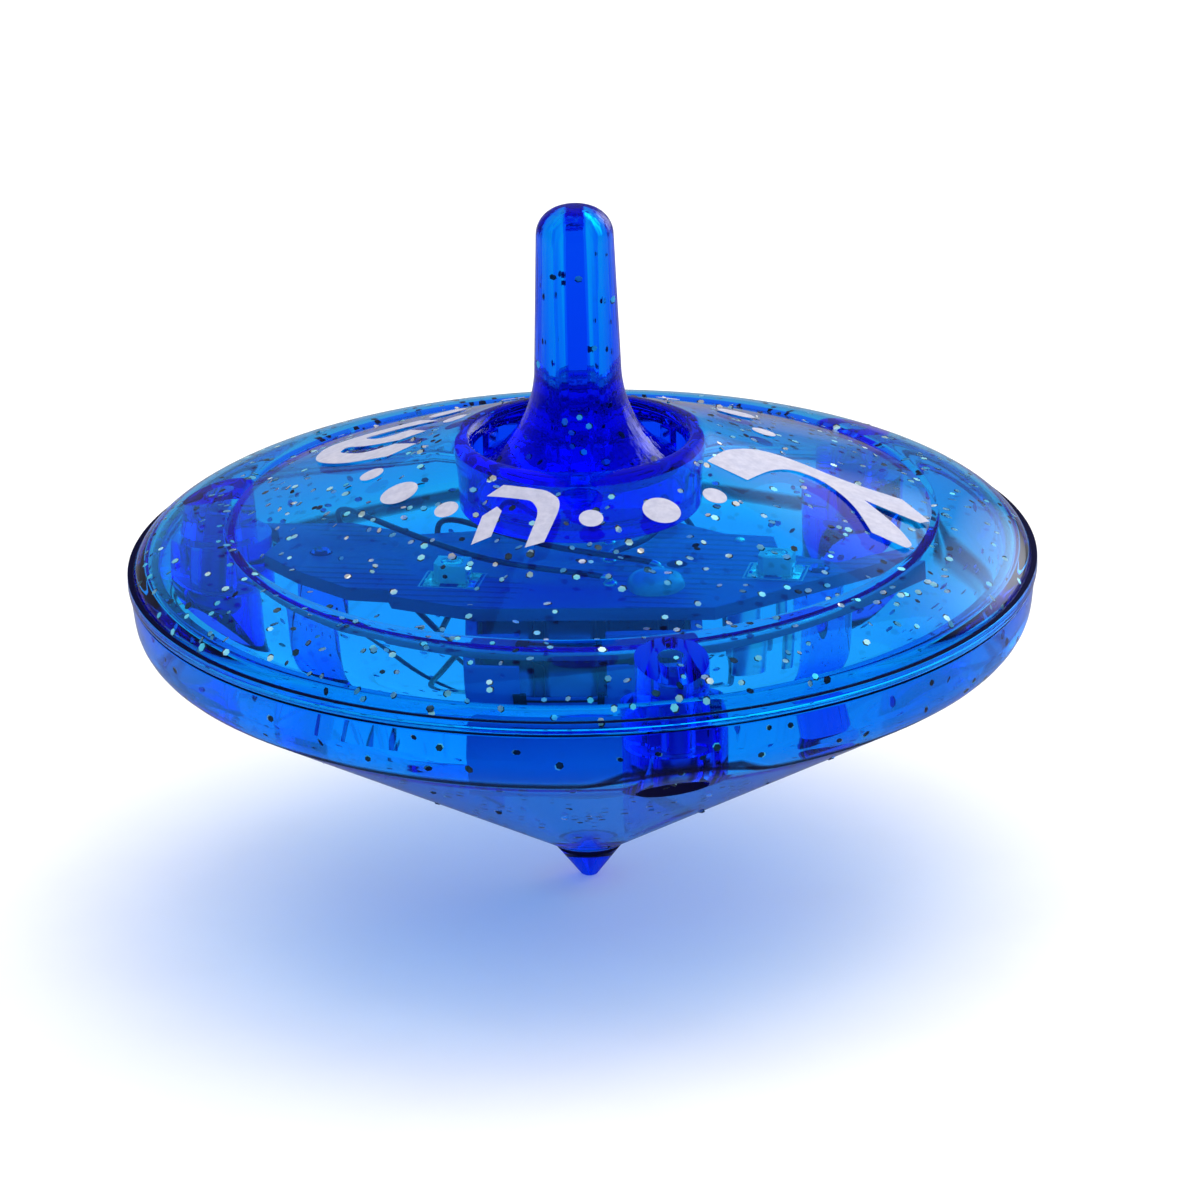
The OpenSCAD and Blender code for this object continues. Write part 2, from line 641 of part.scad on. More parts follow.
module buzzer_ceramic() {
  color("whitesmoke") translate([0, 0, buzzer_z + buzzer_t])
    cylinder(r = ceramic_share * buzzer_r, h = ceramic_t, $fn = round_fn);
}

module wire_plus() { color("crimson") wire([plus_from], plus_route); }
module wire_minus() { color("black") wire([minus_from], minus_route); }
module wire_buzzer_plate() {
  color("black") disc_wire(plate_from, buzzer_z + buzzer_t, plate_route);
}
module wire_buzzer_ceramic() {
  color("crimson") disc_wire(ceramic_from, buzzer_z + buzzer_t + ceramic_t, ceramic_route);
}

upper_shell();
lower_shell();
stem();
shell_screws();
circuit_board();
lamp_pads();
led(lamps[0]);  // led_right
led(lamps[1]);  // led_left
chip_drop();
battery_box();
button_cell(0);  // button_cell_1
button_cell(1);  // button_cell_2
button_cell(2);  // button_cell_3
contact_plate();
contact_leaf();
switch_base();
switch_arm();
switch_weight();
switch_post();
buzzer_plate();
buzzer_ceramic();
wire_plus();
wire_minus();
wire_buzzer_plate();
wire_buzzer_ceramic();
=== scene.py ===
# Looks of a light-up spinning top: clear shells with glitter in the plastic, a hollow finger
# stem, printed marks and the small circuit inside. Sizes in the pieces' dictionaries are
# millimetres, and those of the camera, the lights and the ground are metres.
import json
import math

import bmesh
import bpy
from mathutils import Matrix, Vector

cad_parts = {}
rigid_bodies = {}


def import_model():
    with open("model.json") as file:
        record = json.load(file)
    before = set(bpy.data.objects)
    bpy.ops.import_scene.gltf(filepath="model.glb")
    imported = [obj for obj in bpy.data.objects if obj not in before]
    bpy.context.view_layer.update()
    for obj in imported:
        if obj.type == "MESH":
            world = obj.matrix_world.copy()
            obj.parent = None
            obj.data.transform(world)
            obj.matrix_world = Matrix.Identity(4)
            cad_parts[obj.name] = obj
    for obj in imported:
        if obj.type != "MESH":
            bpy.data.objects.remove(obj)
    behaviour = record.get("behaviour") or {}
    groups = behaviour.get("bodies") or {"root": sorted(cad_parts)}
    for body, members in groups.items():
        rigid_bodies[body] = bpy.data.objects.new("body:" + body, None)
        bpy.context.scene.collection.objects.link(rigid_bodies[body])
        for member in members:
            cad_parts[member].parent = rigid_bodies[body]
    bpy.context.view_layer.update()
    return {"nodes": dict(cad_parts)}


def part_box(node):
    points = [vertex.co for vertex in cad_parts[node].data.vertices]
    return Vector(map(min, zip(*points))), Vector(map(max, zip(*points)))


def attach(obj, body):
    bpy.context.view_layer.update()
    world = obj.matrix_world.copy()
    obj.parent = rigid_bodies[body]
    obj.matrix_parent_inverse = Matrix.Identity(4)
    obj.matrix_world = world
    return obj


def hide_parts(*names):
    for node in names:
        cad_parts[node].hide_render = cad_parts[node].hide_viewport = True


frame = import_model()
nodes = frame["nodes"]
mm = 0.001
# points nearer than this are one point
weld = 0.001 * mm
# how far a cutting form runs past what it cuts, in millimetres
cutRoom = 1
scene = bpy.context.scene


# Shader and geometry maths

class Signal:
    # a socket in a Python expression: every operator adds the Math node that it stands for
    def __init__(self, kit, socket):
        self.kit = kit
        self.socket = socket

    def maths(self, operation, *others):
        inputs = dict(enumerate((self,) + others))
        return self.kit.add("ShaderNodeMath", {"operation": operation}, inputs)

    def __add__(self, other):
        return self.maths("ADD", other)

    def __sub__(self, other):
        return self.maths("SUBTRACT", other)

    def __mul__(self, other):
        return self.maths("MULTIPLY", other)

    def __truediv__(self, other):
        return self.maths("DIVIDE", other)

    def __pow__(self, other):
        return self.maths("POWER", other)

    def __rsub__(self, other):
        return self.kit.add("ShaderNodeMath", {"operation": "SUBTRACT"}, {0: other, 1: self})

    def __radd__(self, other):
        return self + other

    def __rmul__(self, other):
        return self * other

    def step(self, low, high):
        # 0 below low, 1 above high and a straight ramp between them
        settings = {"clamp": True}
        return self.kit.add("ShaderNodeMapRange", settings, {"Value": self, 1: low, 2: high})

    def other(self, name):
        return Signal(self.kit, self.socket.node.outputs[name])


class NodeKit:
    def __init__(self, tree):
        self.tree = tree

    def feed(self, socket, value):
        if isinstance(value, Signal):
            self.tree.links.new(value.socket, socket)
        else:
            socket.default_value = value

    def add(self, kind, settings=None, inputs=None, output=0):
        node = self.tree.nodes.new(kind)
        for name, value in (settings or {}).items():
            if name == "stops":
                self.fillRamp(node.color_ramp, value)
            else:
                setattr(node, name, value)
        for name, value in (inputs or {}).items():
            self.feed(node.inputs[name], value)
        return Signal(self, node.outputs[output]) if len(node.outputs) else None

    def fillRamp(self, ramp, stops):
        while len(ramp.elements) < len(stops):
            ramp.elements.new(0.5)
        for element, (place, colour) in zip(ramp.elements, stops):
            element.position = place
            element.color = (*colour, 1)

    def noise(self, scale, detail=3.0, roughness=0.5, where=None):
        inputs = {"Scale": scale, "Detail": detail, "Roughness": roughness}
        inputs["Vector"] = where or self.place()
        return self.add("ShaderNodeTexNoise", None, inputs)

    def place(self, scale=(1, 1, 1), turn=(0, 0, 0)):
        # Object coordinates, stretched or turned where a pattern needs it
        spot = self.add("ShaderNodeTexCoord", None, None, "Object")
        if scale == (1, 1, 1) and turn == (0, 0, 0):
            return spot
        return self.add("ShaderNodeMapping", None, {"Vector": spot, "Scale": scale, "Rotation": turn})

    def spot(self, turn=(0, 0, 0)):
        # the X of a place, with its Y and Z as the other outputs
        return self.add("ShaderNodeSeparateXYZ", None, {0: self.place((1, 1, 1), turn)})

    def vector(self, x, y, z):
        return self.add("ShaderNodeCombineXYZ", None, {0: x, 1: y, 2: z})

    def blend(self, factor, first, second):
        # a colour between two colours
        colours = {0: factor, 6: first, 7: second}
        return self.add("ShaderNodeMix", {"data_type": "RGBA"}, colours, 2)

    def ramp(self, factor, stops):
        return self.add("ShaderNodeValToRGB", {"stops": stops}, {"Fac": factor})

    def bump(self, height, distance):
        return self.add("ShaderNodeBump", None, {"Height": height, "Distance": distance})

    def join(self, *parts):
        joined = self.add("GeometryNodeJoinGeometry")
        for part in parts:
            self.tree.links.new(part.socket, joined.socket.node.inputs[0])
        return joined

    def deliver(self, geometry, material):
        # ends a geometry tree with its material
        painted = self.add("GeometryNodeSetMaterial", None, {"Geometry": geometry, "Material": material})
        self.add("NodeGroupOutput", None, {0: painted})
        return self.tree


def newMaterial(name):
    made = bpy.data.materials.new(name)
    made.use_nodes = True
    made.node_tree.nodes.clear()
    return made, NodeKit(made.node_tree)


def solidMaterial(name, inputs, build=None):
    # an opaque finish: fixed values by name, and whatever build links to the shader
    made, kit = newMaterial(name)
    values = dict(inputs)
    if build:
        values.update(build(kit))
    shader = kit.add("ShaderNodeBsdfPrincipled", None, values)
    kit.add("ShaderNodeOutputMaterial", None, {"Surface": shader})
    return made


def rgb(red, green, blue):
    return (red, green, blue, 1)


def within(value, low, high, ease):
    # 1 between two values and 0 outside them, with a soft edge
    return value.step(low - ease, low + ease) * (1 - value.step(high - ease, high + ease))


def radiusOf(spot, centre=(0.0, 0.0)):
    x = spot - centre[0] * mm
    y = spot.other("Y") - centre[1] * mm
    return (x * x + y * y) ** 0.5


# Clear plastics

plasticTint = {
    "bending": 1.49,
    "reflected": (0.04, 0.18, 0.85),
    "absorbed": (0.0, 0.83, 0.993),
    "density": 1350.0,
    "stemDensity": 2400.0,
    "gloss": 0.015,
    "scuffGloss": 0.16,
    "rippleDepth": 0.004 * mm,
    "scratchScale": 240.0,
    "deep": (0.42, 0.14, 1.0),
    "dragScale": 900.0,
    "dragDepth": 0.12 * mm,
    "dragStretch": 0.03,
    "jointLine": (0.0, 0.0, 0.035),
}


def clearPlastic(name, absorbed, density, scuffs, deep=None, joint=None, drag=False):
    # the tint is in the depth of the plastic, so thin walls come out azure and thick parts deep blue;
    # deep gives the places with a deeper skin, joint the painted dark lines of shade, and drag lines along
    # the mould
    made, kit = newMaterial(name)
    ripple = kit.noise(55.0, 2.0, 0.4)
    handling = kit.noise(38.0, 4.0, 0.6).step(0.52, 0.74)
    hair = kit.noise(plasticTint["scratchScale"], 2.0, 0.5, kit.place((1, 9, 1), (0.3, 0.5, 0.9)))
    scratches = hair.step(0.66, 0.72) * handling
    roughness = plasticTint["gloss"] + scratches * (plasticTint["scuffGloss"] * scuffs)
    spot = kit.spot()
    tint = rgb(1, 1, 1)
    if deep:
        tint = kit.blend(deep(spot), rgb(1, 1, 1), rgb(*plasticTint["deep"]))
    waves = kit.bump(ripple, plasticTint["rippleDepth"])
    if drag:
        along = kit.place((1, 1, plasticTint["dragStretch"]))
        waves = kit.bump(kit.noise(plasticTint["dragScale"], 2.0, 0.6, along), plasticTint["dragDepth"])
    shader = kit.add("ShaderNodeBsdfPrincipled", None, {
        "Base Color": tint,
        "Roughness": roughness,
        "IOR": plasticTint["bending"],
        "Specular Tint": rgb(*plasticTint["reflected"]),
        "Transmission Weight": 1.0,
        "Normal": waves,
    })
    unbent = kit.add("ShaderNodeBsdfTransparent", None, {"Color": rgb(1, 1, 1)})
    lampRay = kit.add("ShaderNodeLightPath", None, None, "Is Shadow Ray")
    surface = kit.add("ShaderNodeMixShader", None, {0: lampRay, 1: shader, 2: unbent})
    # painted shade: a dull near-black skin where the dark lines are painted
    if joint:
        dull = kit.add("ShaderNodeBsdfPrincipled", None, {
            "Base Color": rgb(*plasticTint["jointLine"]),
            "Roughness": 0.6 + ripple * 0.2,
            "Specular IOR Level": 0.1,
        })
        surface = kit.add("ShaderNodeMixShader", None, {0: joint(spot), 1: surface, 2: dull})
    depth = kit.add("ShaderNodeVolumeAbsorption", None, {"Color": rgb(*absorbed), "Density": density})
    kit.add("ShaderNodeOutputMaterial", None, {"Surface": surface, "Volume": depth})
    return made


# Turned forms

def softened(outline, steps=4):
    # (r, z) or (r, z, radius): a corner with a radius becomes a small curve
    points = []
    count = len(outline)
    for i, corner in enumerate(outline):
        if len(corner) < 3:
            points.append(tuple(corner))
            continue
        here = Vector(corner[:2])
        back = Vector(outline[i - 1][:2]) - here
        ahead = Vector(outline[(i + 1) % count][:2]) - here
        start = here + back.normalized() * min(corner[2], back.length * 0.45)
        end = here + ahead.normalized() * min(corner[2], ahead.length * 0.45)
        for k in range(steps + 1):
            t = k / steps
            spot = start * (1 - t) ** 2 + here * 2 * t * (1 - t) + end * t * t
            points.append((spot.x, spot.y))
    return points


def spin(bm, outline, turns=192, centre=(0, 0)):
    # a closed outline of (r, z) spun about a post's own axis; z may be a function of the distance
    # from the spin axis, for a post that ends inside a sloping wall
    rings = []
    for r, z in outline:
        ring = []
        for k in range(turns if r > 1e-6 else 1):
            angle = 2 * math.pi * k / turns
            x = centre[0] + r * math.cos(angle)
            y = centre[1] + r * math.sin(angle)
            height = z(math.hypot(x, y)) if callable(z) else z
            ring.append(bm.verts.new((x * mm, y * mm, height * mm)))
        rings.append(ring)
    for i, ring in enumerate(rings):
        following = rings[(i + 1) % len(rings)]
        if len(ring) == 1 and len(following) == 1:
            continue
        for k in range(turns):
            corners = [ring[k % len(ring)], ring[(k + 1) % len(ring)]]
            corners += [following[(k + 1) % len(following)], following[k % len(following)]]
            bm.faces.new(list(dict.fromkeys(corners)))


def slab(bm, outline, width, turn):
    # a flat (r, z) outline given a width and stood on a ray from the spin axis
    sides = []
    for side in (-width / 2, width / 2):
        spots = [Matrix.Rotation(turn, 3, "Z") @ Vector((r, side, z)) for r, z in outline]
        sides.append([bm.verts.new(spot * mm) for spot in spots])
    bm.faces.new(sides[0])
    bm.faces.new(list(reversed(sides[1])))
    for k in range(len(outline)):
        n = (k + 1) % len(outline)
        bm.faces.new([sides[0][k], sides[1][k], sides[1][n], sides[0][n]])


def meshFrom(name, bm):
    mesh = bpy.data.meshes.new(name)
    bm.to_mesh(mesh)
    bm.free()
    return mesh


def meshObject(name, bm):
    bmesh.ops.recalc_face_normals(bm, faces=bm.faces)
    piece = bpy.data.objects.new(name, meshFrom(name, bm))
    scene.collection.objects.link(piece)
    return piece


def settle(piece):
    # the piece as its modifiers leave it, with none left on it
    depsgraph = bpy.context.evaluated_depsgraph_get()
    finished = bpy.data.meshes.new_from_object(piece.evaluated_get(depsgraph))
    piece.modifiers.clear()
    piece.data = finished
    finished.name = piece.name


def combine(piece, tool, operation):
    change = piece.modifiers.new("change", "BOOLEAN")
    change.operation = operation
    change.solver = "EXACT"
    change.object = tool
    settle(piece)
    bpy.data.objects.remove(tool)


def smoothed(piece, angle=32):
    piece.data.shade_smooth()
    piece.data.set_sharp_from_angle(angle=math.radians(angle))


def eased(piece, width, segments=2, angle=30):
    edges = piece.modifiers.new("edges", "BEVEL")
    edges.width = width * mm
    edges.segments = segments
    edges.limit_method = "ANGLE"
    edges.angle_limit = math.radians(angle)
    settle(piece)
    smoothed(piece, 35)


def between(points, r):
    # height at a radius along a list of (r, z) whose radii fall
    for (r0, z0), (r1, z1) in zip(points, points[1:]):
        if r1 <= r <= r0 and r0 > r1:
            return z0 + (z1 - z0) * (r0 - r) / (r0 - r1)
    return points[-1][1]


def straight(start, end, count):
    return [tuple(a + (b - a) * k / count for a, b in zip(start, end)) for k in range(count + 1)]


def ruleTree(name, measures, counts=(), started=True):
    # an empty geometry tree with named inputs, and a mesh to start from unless it makes its own
    tree = bpy.data.node_groups.new(name, "GeometryNodeTree")
    start = ["Geometry"] if started else []
    kinds = {"NodeSocketGeometry": start, "NodeSocketFloat": measures, "NodeSocketInt": counts}
    for kind, sockets in kinds.items():
        for socket in sockets:
            tree.interface.new_socket(socket, in_out="INPUT", socket_type=kind)
    tree.interface.new_socket("Geometry", in_out="OUTPUT", socket_type="NodeSocketGeometry")
    kit = NodeKit(tree)
    return kit, kit.add("NodeGroupInput")


def grownFrom(name, tree, values, start=None):
    # the plain mesh that a geometry tree makes from its named inputs
    piece = bpy.data.objects.new(name, start or bpy.data.meshes.new(name))
    scene.collection.objects.link(piece)
    growth = piece.modifiers.new(name, "NODES")
    growth.node_group = tree
    for item in tree.interface.items_tree:
        if item.in_out == "INPUT" and item.name in values:
            growth[item.identifier] = values[item.name]
    settle(piece)
    return piece


def dress(piece, material, body, slot=None, *replaced):
    piece.data.materials.clear()
    piece.data.materials.append(material)
    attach(piece, body)
    if replaced:
        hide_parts(*replaced)


# Upper shell

upperLow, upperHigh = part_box("upper_shell")
upper = {
    "rim": upperHigh.x / mm,
    "joint": upperLow.z / mm,
    "skirtWidth": 2.2,
    "beadHeight": 1.1,
    "beadStep": 0.6,
    "shoulderWidth": 8.75,
    "shoulderRise": 5.2,
    "shoulderPowers": (1.45, 1.18),
    "ringWidth": 0.5,
    "ringDip": 0.12,
    "roofRise": 7.0,
    "wall": 1.6,
    "collar": 11.5,
    "lipRise": 0.42,
    "cup": 10.6,
    "cupWall": 1.2,
    "cupDepth": 7.1,
    "ribTurns": (30, 150, 270),
    "ribWidth": 1.6,
    "ribReach": 0.7,
    "ribDrop": 1.2,
    "shelf": 2.0,
    "seatDepth": 3.3,
    "seatGap": 0.015,
    "corners": {"skirt": 0.15, "rim": 0.3, "bead": 0.1, "lip": 0.3, "mouth": 0.2, "cup": 0.5},
    "roofSteps": 12,
}
ringRadius = upper["rim"] - upper["shoulderWidth"]
ringHeight = upper["joint"] + upper["shoulderRise"]
roofHeight = ringHeight + upper["roofRise"]
roofSlope = upper["roofRise"] / (ringRadius - upper["collar"])
roofWall = upper["wall"] * math.sqrt(1 + roofSlope ** 2)
lipHeight = roofHeight + upper["lipRise"]
cupInside = upper["cup"] - upper["cupWall"]
cupLow = lipHeight - upper["cupDepth"]
cupFloor = cupLow + upper["cupWall"]
seatHeight = lipHeight - upper["seatDepth"]

bosses = {
    "circle": upper["rim"] - 6.7,
    "turns": (-77.35, 42.65, 162.65),
    "upperRadius": 3.15,
    "pilotRadius": 1.2,
    "pilotDepth": 3.6,
    "lowerRadius": 4.4,
    "counterbore": 3.1,
    "headSeat": 3.4,
    "hole": 1.45,
    "jointGap": 0.02,
}
bossCentres = [
    (bosses["circle"] * math.cos(math.radians(turn)), bosses["circle"] * math.sin(math.radians(turn)))
    for turn in bosses["turns"]
]


def shoulderCurve(width, base, rise, count=26):
    powerR, powerZ = upper["shoulderPowers"]
    angles = [math.pi / 2 * k / count for k in range(count + 1)]
    return [
        (ringRadius + width * max(0.0, math.cos(a)) ** powerR, base + rise * math.sin(a) ** powerZ)
        for a in angles
    ]


def makeUpperShell():
    skirt = upper["rim"] - upper["skirtWidth"]
    bead = upper["joint"] + upper["beadHeight"]
    edge = upper["rim"] - upper["beadStep"]
    crease = (ringRadius - upper["ringWidth"], ringHeight - upper["ringDip"])
    outside = shoulderCurve(edge - ringRadius, bead, ringHeight - bead)
    outside += straight(crease, (upper["collar"], roofHeight), upper["roofSteps"])
    innerCollar = (upper["cup"], roofHeight - roofWall + (upper["collar"] - upper["cup"]) * roofSlope)
    innerRing = (crease[0], crease[1] - roofWall)
    inside = shoulderCurve(skirt - ringRadius, bead, ringHeight - bead - upper["wall"])
    inside += straight(innerRing, innerCollar, upper["roofSteps"])
    hole = cupInside + upper["cupWall"] / 3
    lip = upper["lipRise"]
    corners = upper["corners"]
    outline = [(skirt, upper["joint"], corners["skirt"]), (upper["rim"], upper["joint"], corners["rim"])]
    outline += [(upper["rim"], bead, corners["bead"])] + outside
    outline += [(hole + 2.4 * lip, lipHeight - 0.1), (hole, lipHeight, corners["lip"])]
    outline += [(cupInside, lipHeight - 1.5 * lip, corners["mouth"]), (cupInside, cupFloor, corners["cup"])]
    outline += [(0, cupFloor), (0, cupLow), (upper["cup"], cupLow, corners["cup"])]
    outline += list(reversed(inside))
    shell = bmesh.new()
    spin(shell, softened(outline))
    piece = meshObject("upperShell", shell)

    added = bmesh.new()

    def middle(r):
        return (between(outside, r) + between(inside, r)) / 2

    foot = upper["joint"] + bosses["jointGap"] / 2
    pilot = upper["joint"] + bosses["pilotDepth"]
    for centre in bossCentres:
        around = [(0, middle), (bosses["upperRadius"], middle), (bosses["upperRadius"], foot)]
        around += [(bosses["pilotRadius"], foot), (bosses["pilotRadius"], pilot), (0, pilot)]
        spin(added, around, 40, centre)
    deep = cupInside + upper["cupWall"] / 2
    shelfEnd = cupInside - upper["shelf"]
    ribEnd = cupInside - upper["ribReach"]
    ribTop = lipHeight - upper["ribDrop"]
    for turn in upper["ribTurns"]:
        low = cupFloor - upper["cupWall"] / 2
        rib = [(shelfEnd, low), (deep, low), (deep, ribTop), (ribEnd, ribTop)]
        rib += [(ribEnd, seatHeight), (shelfEnd, seatHeight)]
        slab(added, rib, upper["ribWidth"], math.radians(turn))
    combine(piece, meshObject("upperExtras", added), "UNION")
    smoothed(piece)
    dress(piece, shellPlastic, "body", "clear_blue", "upper_shell")
    print("upper shell:", len(piece.data.polygons), "faces")
    return piece


# Lower shell

lower = {
    "tipFlat": 0.7,
    "tipRadius": 3.24,
    "tipHeight": 3.35,
    "heelInset": 0.7,
    "heelDrop": 4.6,
    "heelRound": 2.2,
    "seamGap": 0.2,
    "edgeInset": 0.2,
    "wall": 1.5,
    "tongue": 37.65,
    "tongueWall": 0.95,
    "tongueHeight": 1.3,
    "stands": ((-23.01, 5.4), (20.6, -2.05)),
    "standRadius": 2.2,
    "stakeRadius": 0.9,
    "stakeProud": 0.3,
    "ledgeTurns": (60, 180, 300),
    "ledgeWidth": 1.4,
    "ledgeReach": 2.6,
    "restGap": 0.01,
    "straightFrom": 6,
    "straightTo": 34,
    "straightSteps": 12,
    "plugShare": 0.75,
    "corners": {"point": 0.12, "tip": 0.35, "edge": 0.15, "tongue": 0.3, "tongueIn": 0.2,
                "wall": 1.3, "plug": 0.5},
}
heel = Vector((upper["rim"] - lower["heelInset"], upper["joint"] - lower["heelDrop"]))
coneSlope = (heel.y - lower["tipHeight"]) / (heel.x - lower["tipRadius"])
coneWall = lower["wall"] * math.sqrt(1 + coneSlope ** 2)


def coneHeight(r):
    return lower["tipHeight"] + (r - lower["tipRadius"]) * coneSlope


def lowerOutline():
    near, far = lower["straightFrom"], lower["straightTo"]
    steps = lower["straightSteps"]
    corners = lower["corners"]
    edge = (upper["rim"] - lower["edgeInset"], upper["joint"] - lower["seamGap"])
    tongueTop = upper["joint"] + lower["tongueHeight"]
    tongueIn = lower["tongue"] - lower["tongueWall"]
    plug = lower["plugShare"] * lower["tipRadius"]
    outline = [(0, 0), (lower["tipFlat"], 0, corners["point"])]
    outline += [(lower["tipRadius"], lower["tipHeight"], corners["tip"])]
    outline += straight((near, coneHeight(near)), (far, coneHeight(far)), steps)
    outline += [(heel.x, heel.y, lower["heelRound"]), (*edge, corners["edge"]), (lower["tongue"], edge[1])]
    outline += [(lower["tongue"], tongueTop, corners["tongue"]), (tongueIn, tongueTop, corners["tongueIn"])]
    outline += [(tongueIn, coneHeight(tongueIn) + coneWall, corners["wall"])]
    outline += straight((far, coneHeight(far) + coneWall), (near, coneHeight(near) + coneWall), steps)
    plugTop = coneHeight(plug) + coneWall
    return outline + [(plug, plugTop, corners["plug"]), (0, plugTop + corners["plug"])]


def makeLowerShell():
    shell = bmesh.new()
    spin(shell, softened(lowerOutline(), 6))
    piece = meshObject("lowerShell", shell)

    def middle(r):
        return coneHeight(r) + coneWall / 2

    boardLow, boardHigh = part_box("circuit_board")
    added = bmesh.new()
    joint = upper["joint"] - bosses["jointGap"] / 2
    for centre in bossCentres:
        around = [(0, middle), (bosses["lowerRadius"], middle), (bosses["lowerRadius"], joint), (0, joint)]
        spin(added, around, 48, centre)
    for centre in lower["stands"]:
        seat = boardLow.z / mm - lower["restGap"]
        tip = boardHigh.z / mm + lower["stakeProud"]
        stake = lower["stakeRadius"]
        around = [(0, middle), (lower["standRadius"], middle), (lower["standRadius"], seat)]
        around += [(stake, seat), (stake, tip - 0.2), (0.75 * stake, tip), (0, tip)]
        spin(added, around, 32, centre)
    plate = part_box("buzzer_plate")
    ledgeTop = plate[0].z / mm - lower["restGap"]
    inner = plate[1].x / mm - lower["ledgeReach"]
    outer = lower["tipRadius"] + (ledgeTop - lower["tipHeight"] - coneWall / 2) / coneSlope
    for turn in lower["ledgeTurns"]:
        ledge = [(inner, middle(inner)), (inner, ledgeTop), (outer, ledgeTop)]
        slab(added, ledge, lower["ledgeWidth"], math.radians(turn))
    combine(piece, meshObject("lowerExtras", added), "UNION")

    cut = bmesh.new()
    seat = upper["joint"] - bosses["headSeat"]
    low = coneHeight(bosses["circle"] - bosses["counterbore"]) - cutRoom
    for centre in bossCentres:
        around = [(0, low), (bosses["counterbore"], low), (bosses["counterbore"], seat)]
        around += [(bosses["hole"], seat), (bosses["hole"], joint + cutRoom), (0, joint + cutRoom)]
        spin(cut, around, 48, centre)
    combine(piece, meshObject("lowerCuts", cut), "DIFFERENCE")
    smoothed(piece)
    dress(piece, shellPlastic, "body", "clear_blue", "lower_shell")
    print("lower shell:", len(piece.data.polygons), "faces")
    return piece


# Stem, whose outline follows a rule: a dome, a straight taper and a quarter-ellipse flare

stemLow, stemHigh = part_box("stem")
stem = {
    "top": stemHigh.z / mm,
    "foot": stemLow.z / mm,
    "flare": stemHigh.x / mm,
    "seat": seatHeight + upper["seatGap"],
    "flareRim": 1.0,
    "flareEdge": 0.12,
    "flareHeight": 9.4,
    "flareEase": 2.8,
    "lowRadius": 3.8,
    "topRadius": 3.4,
    "domeHeight": 2.6,
    "turns": 160,
}
hollow = {
    "floor": 41.2,
    "foot": (36.9, 1.1),
    "footRound": 0.3,
    "ease": 0.5,
    "corner": 0.22,
    "radius": 2.0,
    "crown": 0.9,
    "dome": 2.0,
    "blade": 1.3,
}


def stemTree():
    names = [name for name in stem if name != "turns"]
    kit, entry = ruleTree("stemRule", names, ["turns"], False)
    size = {name: entry.other(name) * mm for name in names}
    turns = entry.other("turns")
    flareTop = size["seat"] + size["flareRim"]
    neckWidth = size["flare"] - size["lowRadius"]
    flareWidth = neckWidth + size["flareEase"]
    reach = (1 - (1 - neckWidth / flareWidth) ** 2) ** 0.5
    neck = flareTop + size["flareHeight"] * reach
    domeBase = size["top"] - size["domeHeight"]
    edge = size["flareEdge"]

    def line(fromR, fromZ, toR, toZ):
        return lambda t: (fromR + t * (toR - fromR), fromZ + t * (toZ - fromZ))

    def flareRule(t):
        # measured from the rim to the neck, with the points closer together at the neck
        r = size["flare"] - neckWidth * (1 - (1 - t) ** 2)
        share = 1 - (r - size["lowRadius"]) / flareWidth
        return r, neck - size["flareHeight"] * (1 - share ** 2) ** 0.5

    def domeRule(t):
        a = t * (math.pi / 2)
        flat = a.maths("COSINE").maths("MAXIMUM", 0.0) ** 0.8
        return size["topRadius"] * flat, domeBase + size["domeHeight"] * a.maths("SINE")

    stretches = [
        (line(0.0, size["foot"], size["lowRadius"], size["foot"]), 4),
        (line(size["lowRadius"], size["foot"], size["lowRadius"], size["seat"]), 4),
        (line(size["lowRadius"], size["seat"], size["flare"] - edge, size["seat"]), 10),
        (line(size["flare"] - edge, size["seat"], size["flare"], size["seat"] + edge), 2),
        (line(size["flare"], size["seat"] + edge, size["flare"], flareTop), 4),
        (flareRule, 36),
        (line(size["lowRadius"], neck, size["topRadius"], domeBase), 16),
        (domeRule, 20),
    ]
    sheets = []
    for rule, steps in stretches:
        grid = kit.add("GeometryNodeMeshGrid", None, {"Vertices X": steps + 1, "Vertices Y": turns})
        spot = kit.add("ShaderNodeSeparateXYZ", None, {0: grid.other("UV Map")})
        radius, height = rule(spot)
        angle = spot.other("Y") * (2 * math.pi)
        where = kit.vector(radius * angle.maths("COSINE"), radius * angle.maths("SINE"), height)
        sheets.append(kit.add("GeometryNodeSetPosition", None, {"Geometry": grid, "Position": where}))
    whole = {"Geometry": kit.join(*sheets), "Distance": 2 * weld}
    return kit.deliver(kit.add("GeometryNodeMergeByDistance", None, whole), stemPlastic)


def stemChannels():
    # the bore, parted by the web: below its floor the stem and the post pressed into it are one
    # depth of plastic
    bore = hollow["radius"]
    shoulder = stem["top"] - hollow["crown"] - hollow["dome"]
    angles = [math.pi / 2 * k / 10 for k in range(11)]
    foot, narrow = hollow["foot"]
    outline = [(0, foot), (narrow, foot, hollow["footRound"])]
    outline += straight((bore, hollow["floor"]), (bore, shoulder - hollow["ease"]), 6)
    outline += [(bore * math.cos(a), shoulder + hollow["dome"] * math.sin(a)) for a in angles[:-1]]
    outline += [(0, shoulder + hollow["dome"])]
    channels = bmesh.new()
    spin(channels, softened(outline), 80)
    piece = meshObject("stemChannels", channels)
    wide = bore + cutRoom
    low = foot - cutRoom
    sides = [(-wide, low), (wide, low), (wide, stem["top"]), (-wide, stem["top"])]
    blade = bmesh.new()
    slab(blade, sides, hollow["blade"], math.pi / 2)
    combine(piece, meshObject("stemBlade", blade), "DIFFERENCE")
    eased(piece, hollow["corner"], 3)
    return piece


